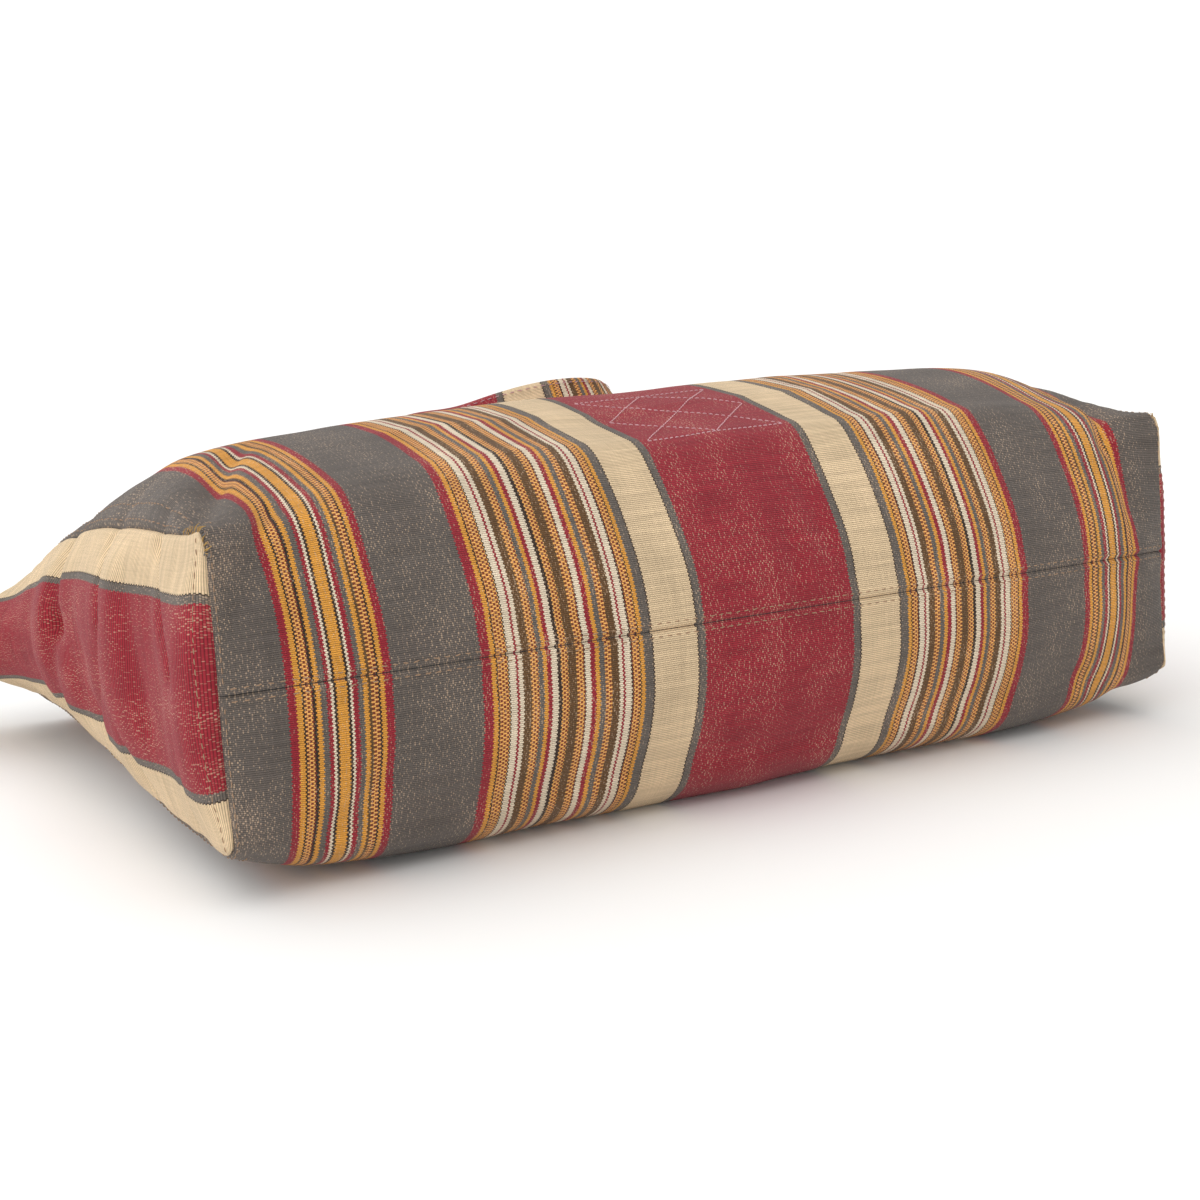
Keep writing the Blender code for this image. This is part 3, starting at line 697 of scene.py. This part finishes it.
def threadMaterial(name, shade):
    # spun sewing thread: two plies whose twist shows as slanted ridges
    material, tree, shader = newMaterial(name)
    place = addNode(tree, "ShaderNodeTexCoord", {}, {}, 3)
    twist = addNode(tree, "ShaderNodeTexWave", {"bands_direction": "DIAGONAL"},
                    {"Vector": place, "Scale": 900.0, "Distortion": 1.0})
    fuzz = addNode(tree, "ShaderNodeTexNoise", {}, {"Vector": place, "Scale": 350.0, "Detail": 2.0})
    tone = addNode(tree, "ShaderNodeMix", {"data_type": "RGBA"},
                   {0: fuzz, 6: [c * 0.6 for c in hexColour(shade)[:3]] + [1.0], 7: hexColour(shade)}, 2)
    bump = addNode(tree, "ShaderNodeBump", {}, {"Height": twist, "Distance": 0.1 * mm, "Strength": 0.6})
    tree.links.new(tone, shader.inputs["Base Color"])
    tree.links.new(bump, shader.inputs["Normal"])
    shader.inputs["Roughness"].default_value = 0.7
    shader.inputs["Specular IOR Level"].default_value = 0.3
    return material


materials = {
    "panels": clothMaterial("cottonRepStripedPanels"),
    "gussets": clothMaterial("cottonRepStripedGussets"),
    "straps": clothMaterial("cottonRepStripedStraps"),
    "tanThread": threadMaterial("tanSewingThread", "#AE8E72"),
    "pinkThread": threadMaterial("palePinkSewingThread", "#DDAFB4"),
    "ochreFluff": threadMaterial("ochreCottonFluff", "#C9A05A"),
    "greyFluff": threadMaterial("greyCottonFluff", "#7D7A78"),
}
print("materials made")


def finishPiece(piece, material, slot, *nodes):
    piece.data.materials.clear()
    piece.data.materials.append(material)
    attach(piece, "root")
    if nodes:
        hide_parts(*nodes)


def gridPiece(name, points, flat, wear):
    # a grid primitive whose vertices are moved to the cloth's places
    rows, columns = points.shape[:2]
    bpy.ops.object.select_all(action="DESELECT")
    bpy.ops.mesh.primitive_grid_add(x_subdivisions=columns - 1, y_subdivisions=rows - 1, size=1.0)
    piece = bpy.context.active_object
    piece.name = name
    mesh = piece.data
    count = len(mesh.vertices)
    place = np.empty(count * 3)
    mesh.vertices.foreach_get("co", place)
    place = place.reshape(-1, 3) + 0.5
    column = np.rint(place[:, 0] * (columns - 1)).astype(int)
    row = np.rint(place[:, 1] * (rows - 1)).astype(int)
    mesh.vertices.foreach_set("co", points[row, column].reshape(-1))
    corner = np.empty(len(mesh.loops), dtype=int)
    mesh.loops.foreach_get("vertex_index", corner)
    layer = mesh.uv_layers[0]
    layer.name = "cloth"
    layer.data.foreach_set("uv", flat[row, column][corner].reshape(-1))
    mesh.attributes.new("wear", "FLOAT", "POINT").data.foreach_set("value", wear[row, column])
    mesh.update()
    bpy.ops.object.shade_smooth()
    return piece


def thicken(piece, wall):
    solid = piece.modifiers.new("wall", "SOLIDIFY")
    solid.thickness = wall
    solid.offset = -1
    bpy.context.view_layer.objects.active = piece
    bpy.ops.object.modifier_apply(modifier=solid.name)


def makeCloth(name, grid, material, slot, node):
    points = grid["points"]
    run, place = np.meshgrid(grid["rows"], grid["columns"], indexing="ij")
    if node.startswith("gusset"):
        # the beige stripe is cut off inside the seam
        inner, outer, edge = gusset["beigeStart"], gusset["beigeEnd"], halfBase
        wide = np.interp(np.abs(place), [0, inner, edge], [0, inner, outer])
        place = np.sign(place) * wide
    flat = np.stack([place, run], -1)
    wear = grid["wear"]
    if grid["sign"] < 0:
        points, flat, wear = points[:, ::-1], flat[:, ::-1], wear[:, ::-1]
    piece = gridPiece(name, points, flat, wear)
    thicken(piece, bag["wall"])
    finishPiece(piece, material, slot, node)
    return piece


makeCloth("frontPanel", grids["front"], materials["panels"], "striped_cloth", "body_front")
makeCloth("backPanel", grids["back"], materials["panels"], "striped_cloth_back", "body_back")
makeCloth("leftGusset", grids["left"], materials["gussets"], "gusset_cloth", "gusset_left")
makeCloth("rightGusset", grids["right"], materials["gussets"], "gusset_cloth", "gusset_right")
print("panels and gussets made")


strap = {
    "width": 0.042,
    "thickness": 0.003,
    "spacing": 0.200,
    "tab": 0.055,
    "frontReach": 0.115,
    "frontBend": 0.052,
    "frontSway": 0.031,       # slumps to the right at its turn
    "backReach": 0.150,
    "steps": 260,
    "sides": 15,              # points across each face
    "fold": 0.25 * mm,        # ridge of the turned-in edges
    "endRound": 0.4 * mm,
    "probe": 0.004,
    "frontClearance": 0.6 * mm,
    "backClearance": 0.15 * mm,
    "stripeShift": -0.062,    # middle of the wine stripe from the strap's turn
    # one leg from the mouth to the turn. side: share of half the spacing. reach: share of the
    # reach. bend: share of frontBend. turn, rise: direction of the width in degrees
    "frontCourse": [
        (1.00, -0.18, 0.10, 0, 0), (1.00, -0.29, 0.34, 0, 0), (0.99, -0.29, 0.68, 0, 0),
        (0.98, -0.17, 0.93, 3, 4), (0.95, 0.06, 0.98, 10, 14), (0.88, 0.30, 0.76, 24, 32),
        (0.76, 0.54, 0.46, 42, 53), (0.56, 0.77, 0.20, 61, 72), (0.30, 0.94, 0.05, 78, 85),
        (0.00, 1.00, 0.00, 90, 90),
    ],
    "backCourse": [
        (1.00, 0.12, 0.0, 0, 0), (0.99, 0.26, 0.0, 4, 6), (0.96, 0.42, 0.0, 14, 20),
        (0.88, 0.59, 0.0, 30, 42), (0.74, 0.76, 0.0, 48, 62), (0.53, 0.90, 0.0, 66, 78),
        (0.27, 0.98, 0.0, 80, 87), (0.00, 1.00, 0.0, 90, 90),
    ],
}


def strapStations(course, reach, bend, sway, tabSign):
    tab = tabSign * strap["tab"]
    rows = [(1.0, tab, 0.0, 0, 0), (1.0, tab / 2, 0.0, 0, 0), (1.0, 0.0, 0.0, 0, 0)]
    rows += [(side, along * reach, height * bend, turn, rise) for side, along, height, turn, rise in course]
    rows = np.array(rows, float)
    rows[:, 0] *= strap["spacing"] / 2
    rows[:, 3:] = np.radians(rows[:, 3:])
    left, right = rows.copy(), rows[-2::-1].copy()
    left[:, 0] *= -1
    right[:, 3] = math.pi - right[:, 3]
    whole = np.concatenate([left, right])
    way = np.concatenate([[0], np.cumsum(np.linalg.norm(np.diff(whole[:, :3], axis=0), axis=1))])
    at = np.linspace(0, way[-1], strap["steps"] + 1)
    stations = np.stack([smoothRows(way, whole[:, k], at) for k in range(5)], -1)
    free = np.clip((at - strap["tab"]) / (way[-1] - 2 * strap["tab"]), 0, 1)
    stations[:, 0] += sway * np.sin(math.pi * free)**2
    return stations


def frontBase(side, reach):
    across, run = side / halfLength, min(mouth - reach, mouth)
    sideways = strap["probe"] / halfLength
    point = panelPoint("front", across, run)
    along = unit(panelPoint("front", across, run - strap["probe"]) - point)
    if reach < 0:
        point = point + along * reach
    wide = unit(panelPoint("front", across + sideways, run) - panelPoint("front", across - sideways, run))
    normal = unit(np.cross(along, wide))
    return point, along, wide, normal if normal[2] > 0 else -normal


def backBase(side, reach):
    wide, along, normal = np.eye(3)
    edge = panelPoint("back", side / halfLength, mouth)
    return np.array([side, edge[1] + reach, 0.0]), along, wide, normal


def strapFrames(stations, base, clearance):
    centres, widths = [], []
    for side, reach, height, turn, rise in stations:
        point, along, wide, normal = base(side, reach)
        lift = strap["thickness"] / 2 + clearance + height + math.sin(rise) * strap["width"] / 2
        centres.append(point + normal * lift)
        flat = math.cos(turn) * wide - math.sin(turn) * along
        widths.append(math.cos(rise) * flat + math.sin(rise) * normal)
    centres = np.array(centres)
    tangents = unit(np.gradient(centres, axis=0))
    widths = np.array(widths)
    widths = unit(widths - np.sum(widths * tangents, axis=1, keepdims=True) * tangents)
    centres[:, 1] += shiftY
    return centres, tangents, widths, np.cross(tangents, widths)


def makeStrap(name, node, frames):
    centres, tangents, widths, ups = frames
    angle = np.linspace(-math.pi / 2, math.pi / 2, strap["sides"])
    across = np.sin(angle)
    thick = np.sqrt(np.clip(1 - np.abs(across)**8, 0, 1))
    ridge = strap["fold"] * np.exp(-((np.abs(across) - 0.86) / 0.07)**2)
    half = strap["thickness"] / 2
    upper = thick * half + ridge - strap["fold"]
    heights = np.concatenate([upper, -upper[-2::-1]])
    places = np.concatenate([across, across[-2::-1]])
    way = np.concatenate([[0], np.cumsum(np.linalg.norm(np.diff(centres, axis=0), axis=1))])
    sag = 0.5 * mm * softNoise(way[:, None] / (22 * mm), places[None, :] * 0.8 + 4, 71)
    heights = heights[None, :] + sag * (1 - places[None, :]**2)
    heights = np.concatenate([heights[:1] * 0, heights, heights[-1:] * 0])
    ends = strap["endRound"] * np.array([-1, 1])[:, None] * tangents[[0, -1]]
    centres = np.concatenate([centres[:1] + ends[:1], centres, centres[-1:] + ends[1:]])
    widths = np.concatenate([widths[:1], widths, widths[-1:]])
    ups = np.concatenate([ups[:1], ups, ups[-1:]])
    way = np.concatenate([[-strap["endRound"]], way, [way[-1] + strap["endRound"]]])
    points = centres[:, None] + widths[:, None] * (places * strap["width"] / 2)[None, :, None]
    points = points + ups[:, None] * heights[..., None]
    middleWay = way[-1] / 2 + strap["stripeShift"]
    around = np.cumsum(np.concatenate([[0], np.abs(np.diff(places)) * strap["width"] / 2]))
    flat = np.stack(np.broadcast_arrays((way - middleWay)[:, None], around[None, :]), -1)
    wear = np.broadcast_to(np.exp(-(1 - np.abs(places)) * 12)[None, :], points.shape[:2])
    piece = gridPiece(name, points, flat, wear)
    bpy.ops.object.mode_set(mode="EDIT")
    bpy.ops.mesh.select_all(action="SELECT")
    bpy.ops.mesh.remove_doubles(threshold=0.00001)
    bpy.ops.mesh.normals_make_consistent(inside=False)
    bpy.ops.object.mode_set(mode="OBJECT")
    finishPiece(piece, materials["straps"], "strap_cloth", node)
    return piece


frontStations = strapStations(strap["frontCourse"], strap["frontReach"], strap["frontBend"],
                              strap["frontSway"], 1)
backStations = strapStations(strap["backCourse"], strap["backReach"], 0.0, 0.0, -1)
frontFrames = strapFrames(frontStations, frontBase, strap["frontClearance"])
backFrames = strapFrames(backStations, backBase, strap["backClearance"])
makeStrap("frontStrap", "handle_front", frontFrames)
makeStrap("backStrap", "handle_back", backFrames)
print("straps made")


stitch = {
    "pitch": 4.1 * mm,
    "share": 0.58,            # length of a stitch, of the pitch
    "thick": 0.48 * mm,
    "lift": 0.10 * mm,
    "baseRows": 2.6 * mm,     # topstitching from the base seam
    "gussetInset": 4.5 * mm,
    "panelInset": 1.9 * mm,
    "secondInset": 6.4 * mm,
    "hemRow": 22 * mm,
    "strapInset": 3.5 * mm,
}


def stitchShape():
    # one stitch, modelled once: a short round-ended bar along X that dips at both ends
    bpy.ops.object.select_all(action="DESELECT")
    bpy.ops.mesh.primitive_uv_sphere_add(segments=6, ring_count=5, radius=0.5, rotation=(0, math.pi / 2, 0))
    bpy.ops.object.transform_apply(location=True, rotation=True, scale=True)
    ball = bpy.context.active_object
    places = np.array([vertex.co for vertex in ball.data.vertices])
    # the primitive's faces come in another order each run, so they are put in order
    faces = []
    for face in ball.data.polygons:
        corners = list(face.vertices)
        start = corners.index(min(corners))
        faces.append(corners[start:] + corners[:start])
    faces.sort()
    bpy.data.objects.remove(ball, do_unlink=True)
    places[:, 0] = np.sign(places[:, 0]) * (np.abs(places[:, 0]) * 2)**0.6 / 2
    return places, faces


stitchPlaces, stitchFaces = stitchShape()


def layStitches(name, centres, tangents, normals, material, slot, length=None, thick=None, arch=0.0):
    # every stitch of one kind of row, joined in one mesh
    length = length or stitch["pitch"] * stitch["share"]
    thick = thick or stitch["thick"]
    arch = arch or thick * 0.55
    rng = np.random.default_rng(len(centres))
    tangents = unit(tangents)
    sides = unit(np.cross(normals, tangents))
    slant = rng.normal(0, 0.10, len(centres))[:, None]
    tangents = unit(tangents + sides * slant)
    sides = unit(np.cross(normals, tangents))
    size = (length * rng.uniform(0.88, 1.08, len(centres)))[:, None, None]
    bow = arch * (1 - (2 * stitchPlaces[:, 0])**2)
    points = (centres[:, None] + tangents[:, None] * stitchPlaces[None, :, :1] * size
              + sides[:, None] * stitchPlaces[None, :, 1:2] * thick
              + normals[:, None] * (stitchPlaces[None, :, 2:3] * thick * 0.8 + bow[None, :, None]
                                    - thick * 0.35 + stitch["lift"]))
    count = len(stitchPlaces)
    faces = [[k * count + corner for corner in face] for k in range(len(centres)) for face in stitchFaces]
    mesh = bpy.data.meshes.new(name)
    mesh.from_pydata(points.reshape(-1, 3).tolist(), [], faces)
    mesh.shade_smooth()
    piece = bpy.data.objects.new(name, mesh)
    bpy.context.scene.collection.objects.link(piece)
    finishPiece(piece, material, slot)
    return piece


def onCloth(grid, places, runs):
    # points and normals of a panel at cloth coordinates
    row = np.interp(runs, grid["rows"], np.arange(len(grid["rows"])))
    column = np.interp(places, grid["columns"], np.arange(len(grid["columns"])))
    r = np.minimum(row.astype(int), len(grid["rows"]) - 2)
    c = np.minimum(column.astype(int), len(grid["columns"]) - 2)
    fr, fc = (row - r)[:, None], (column - c)[:, None]
    found = []
    for field in ("points", "normals"):
        array = grid[field]
        low = array[r, c] * (1 - fc) + array[r, c + 1] * fc
        high = array[r + 1, c] * (1 - fc) + array[r + 1, c + 1] * fc
        found.append(low * (1 - fr) + high * fr)
    return found[0], unit(found[1])


def rowOnCloth(grid, start, end, pitch=None):
    # stitches along a straight line of the flat cloth
    start, end = np.array(start), np.array(end)
    length = np.linalg.norm(end - start)
    count = max(2, round(length / (pitch or stitch["pitch"])))
    share = (np.arange(count) + 0.5) / count
    flat = start + (end - start) * share[:, None]
    step = (end - start) / length * 0.5 * mm
    centres, normals = onCloth(grid, flat[:, 0], flat[:, 1])
    ahead = onCloth(grid, flat[:, 0] + step[0], flat[:, 1] + step[1])[0]
    behind = onCloth(grid, flat[:, 0] - step[0], flat[:, 1] - step[1])[0]
    return centres, ahead - behind, normals


def joinRows(rows):
    return [np.concatenate(parts) for parts in zip(*rows)]


def sewBaseSeam():
    inset = halfLength - 3 * mm
    rows = [rowOnCloth(grids[side], (-inset, stitch["baseRows"]), (inset, stitch["baseRows"]))
            for side in ("front", "back")]
    layStitches("baseSeamStitches", *joinRows(rows), materials["tanThread"], "striped_cloth")


def sewGussets():
    for name, end in (("left", -1), ("right", 1)):
        inset, top = halfBase - 2 * mm, mouth - 2 * mm
        low = halfBase + stitch["gussetInset"]
        rows = [rowOnCloth(grids[name], (-inset, low), (inset, low))]
        edge = end * (halfLength - stitch["panelInset"])
        for side in ("front", "back"):
            rows.append(rowOnCloth(grids[side], (edge, 4 * mm), (edge, top)))
            second = end * (halfLength - stitch["secondInset"])
            rows.append(rowOnCloth(grids[side], (second, low), (second, top)))
        layStitches(name + "GussetStitches", *joinRows(rows), materials["tanThread"], "gusset_cloth")


def sewHem():
    rows = []
    for name, half in (("front", halfLength), ("back", halfLength), ("left", halfBase), ("right", halfBase)):
        run = mouth - stitch["hemRow"]
        rows.append(rowOnCloth(grids[name], (-half + 3 * mm, run), (half - 3 * mm, run)))
    layStitches("mouthHemStitches", *joinRows(rows), materials["tanThread"], "striped_cloth")


def onStrap(frames, way, at):
    # centres, tangents, widths and upward directions at places along a strap
    index = np.interp(at, way, np.arange(len(way)))
    low = np.minimum(index.astype(int), len(way) - 2)
    part = (index - low)[:, None]
    return [array[low] * (1 - part) + array[low + 1] * part for array in frames]


def sewStraps():
    inset = strap["width"] / 2 - stitch["strapInset"]
    half = strap["thickness"] / 2
    for name, frames in (("frontStrapStitches", frontFrames), ("backStrapStitches", backFrames)):
        way = np.concatenate([[0], np.cumsum(np.linalg.norm(np.diff(frames[0], axis=0), axis=1))])
        count = round(way[-1] / stitch["pitch"])
        centre, tangent, wide, up = onStrap(frames, way, (np.arange(count) + 0.5) / count * way[-1])
        rows = []
        for side in (-1, 1):
            for face in (-1, 1):
                rows.append((centre + wide * side * inset + up * face * half, tangent, up * face))
        # box and cross over each sewn end
        tabWay = strap["tab"] - 6 * mm
        for start in (5 * mm, way[-1] - 5 * mm - tabWay):
            corners = [(start, -inset), (start + tabWay, -inset), (start + tabWay, inset), (start, inset)]
            for one, two in ((0, 2), (1, 3), (0, 3), (1, 2)):
                a, b = np.array(corners[one]), np.array(corners[two])
                count = round(np.linalg.norm(b - a) / stitch["pitch"])
                flat = a + (b - a) * ((np.arange(count) + 0.5) / count)[:, None]
                centre, tangent, wide, up = onStrap(frames, way, flat[:, 0])
                outward = up * np.sign(up[:, 2:3]) * (1 if name.startswith("front") else -1)
                direction = tangent * (b - a)[0] + wide * (b - a)[1]
                rows.append((centre + wide * flat[:, 1:2] + outward * half, direction, outward))
        layStitches(name, *joinRows(rows), materials["pinkThread"], "strap_cloth")


# a plain quilted lattice on the wine stripe of the front panel
quilt = {
    "halfWidth": 33.5 * mm,
    "start": 82 * mm,         # run of its first row, where the panel turns over
    "cell": 30 * mm,
    "cells": 2,               # each way
    "pitch": 2.6 * mm,
    "length": 2.0 * mm,
    "thick": 0.6 * mm,
}


def sewQuilting():
    half, cell, cells, start = quilt["halfWidth"], quilt["cell"], quilt["cells"], quilt["start"]
    wide = 2 * half / cells
    lines = [((-half, start + k * cells * cell), (half, start + k * cells * cell)) for k in (0, 1)]
    for i in range(cells):
        for k in range(cells):
            left, low = -half + i * wide, start + k * cell
            lines.append(((left, low), (left + wide, low + cell)))
            lines.append(((left, low + cell), (left + wide, low)))
    rows = [rowOnCloth(grids["front"], one, two, quilt["pitch"]) for one, two in lines]
    layStitches("quiltedLattice", *joinRows(rows), materials["pinkThread"], "striped_cloth",
                length=quilt["length"], thick=quilt["thick"])


# yarn ends of the overcast seam that show at worn corners
fray = {
    "length": 3.6 * mm,
    "thick": 0.34 * mm,
    "arch": 0.9 * mm,
    "corners": [
        # name               column  from  to  count  material
        ("leftCornerFray", 0, 54, 92, 30, "greyFluff"),
        ("leftCornerYarn", 0, 56, 84, 26, "ochreFluff"),
        ("rightCornerFray", -1, 58, 80, 14, "ochreFluff"),
    ],
}


def frayCorners():
    front = grids["front"]
    for number, (name, column, low, high, count, material) in enumerate(fray["corners"]):
        rng = np.random.default_rng(5 + number)
        edge = front["columns"][column]
        runs = np.sort(rng.uniform(low, high, count)) * mm
        places = np.full(count, edge) - np.sign(edge) * rng.uniform(0.0, 1.8, count) * mm
        centres, normals = onCloth(front, places, runs)
        ahead = onCloth(front, places, runs + 0.5 * mm)[0]
        outward = np.array([np.sign(edge), 0, 0])
        normals = unit(normals + 0.6 * outward)
        crossing = unit(np.cross(normals, ahead - centres))
        direction = unit(crossing + rng.normal(0, 0.45, (count, 3)))
        layStitches(name, centres, direction, normals, materials[material], "striped_cloth",
                    length=fray["length"], thick=fray["thick"], arch=fray["arch"])


sewBaseSeam()
sewGussets()
sewHem()
sewStraps()
sewQuilting()
frayCorners()
print("sewing done")


def makeFloor():
    bpy.ops.object.select_all(action="DESELECT")
    bpy.ops.mesh.primitive_plane_add(size=120.0, location=(0, 0, 0))
    floor = bpy.context.active_object
    floor.name = "studioFloor"
    material, tree, shader = newMaterial("mattWhitePaper")
    shader.inputs["Base Color"].default_value = hexColour("#F6F5F3")
    shader.inputs["Roughness"].default_value = 0.9
    shader.inputs["Specular IOR Level"].default_value = 0.2
    floor.data.materials.append(material)


studio = {
    "sky": 0.42,              # soft light from all round
    "backdrop": 1.15,         # lit paper behind, up to this height over the horizon
    "backdropTop": 0.30,
    "sun": 2.5,               # big soft box overhead, a little to the left and behind
    "sunSpread": 100,
    "sunFrom": (-0.45, 0.15, 1.0),
    "fill": 0.35,
    "fillSpread": 120,
    "fillFrom": (-0.6, -1.0, 0.5),
}


def aim(thing, place, target):
    back = unit(np.array(place, float) - np.array(target, float))
    right = unit(np.cross([0, 0, 1.0], back)) if abs(back[2]) < 0.999 else np.array([1.0, 0, 0])
    axes = np.stack([right, np.cross(back, right), back], 1)
    matrix = np.eye(4)
    matrix[:3, :3] = axes
    matrix[:3, 3] = place
    thing.matrix_world = Matrix(matrix.tolist())


def makeLights():
    world = bpy.data.worlds.new("whiteStudio")
    world.use_nodes = True
    tree = world.node_tree
    direction = addNode(tree, "ShaderNodeTexCoord", {}, {}, 0)
    height = addNode(tree, "ShaderNodeSeparateXYZ", {}, {0: direction}, 2)
    level = addNode(tree, "ShaderNodeMapRange", {},
                    {0: height, 1: studio["backdropTop"] * 0.6, 2: studio["backdropTop"],
                     3: studio["backdrop"], 4: studio["sky"]})
    tree.links.new(level, tree.nodes["Background"].inputs["Strength"])
    tree.nodes["Background"].inputs["Color"].default_value = (1, 1, 1, 1)
    bpy.context.scene.world = world
    for name in ("sun", "fill"):
        data = bpy.data.lights.new(name, "SUN")
        data.energy = studio[name]
        data.angle = math.radians(studio[name + "Spread"])
        lamp = bpy.data.objects.new(name, data)
        bpy.context.scene.collection.objects.link(lamp)
        aim(lamp, studio[name + "From"], (0, 0, 0))


view = {
    "place": (-0.4423, -0.6168, 0.247),   # Y from the tables' zero
    "yaw": 30.9,
    "pitch": -12.18,
    "roll": 1.0,
    "focal": 57.0,            # millimetres on a 36 mm sensor
}


def makeCamera():
    yaw, pitch, roll = (math.radians(view[key]) for key in ("yaw", "pitch", "roll"))
    forward = np.array([math.sin(yaw) * math.cos(pitch), math.cos(yaw) * math.cos(pitch), math.sin(pitch)])
    right = np.array([math.cos(yaw), -math.sin(yaw), 0])
    up = np.cross(right, forward)
    turnedRight = right * math.cos(roll) - up * math.sin(roll)
    turnedUp = up * math.cos(roll) + right * math.sin(roll)
    data = bpy.data.cameras.new("studioCamera")
    data.lens = view["focal"]
    data.sensor_width = 36.0
    data.clip_start = 0.05
    camera = bpy.data.objects.new("studioCamera", data)
    bpy.context.scene.collection.objects.link(camera)
    matrix = np.eye(4)
    matrix[:3, :3] = np.stack([turnedRight, turnedUp, -forward], 1)
    matrix[:3, 3] = np.array(view["place"]) + [0, shiftY, 0]
    camera.matrix_world = Matrix(matrix.tolist())
    bpy.context.scene.camera = camera


makeFloor()
makeLights()
makeCamera()
bpy.context.scene.view_settings.view_transform = "Standard"
print("studio ready")
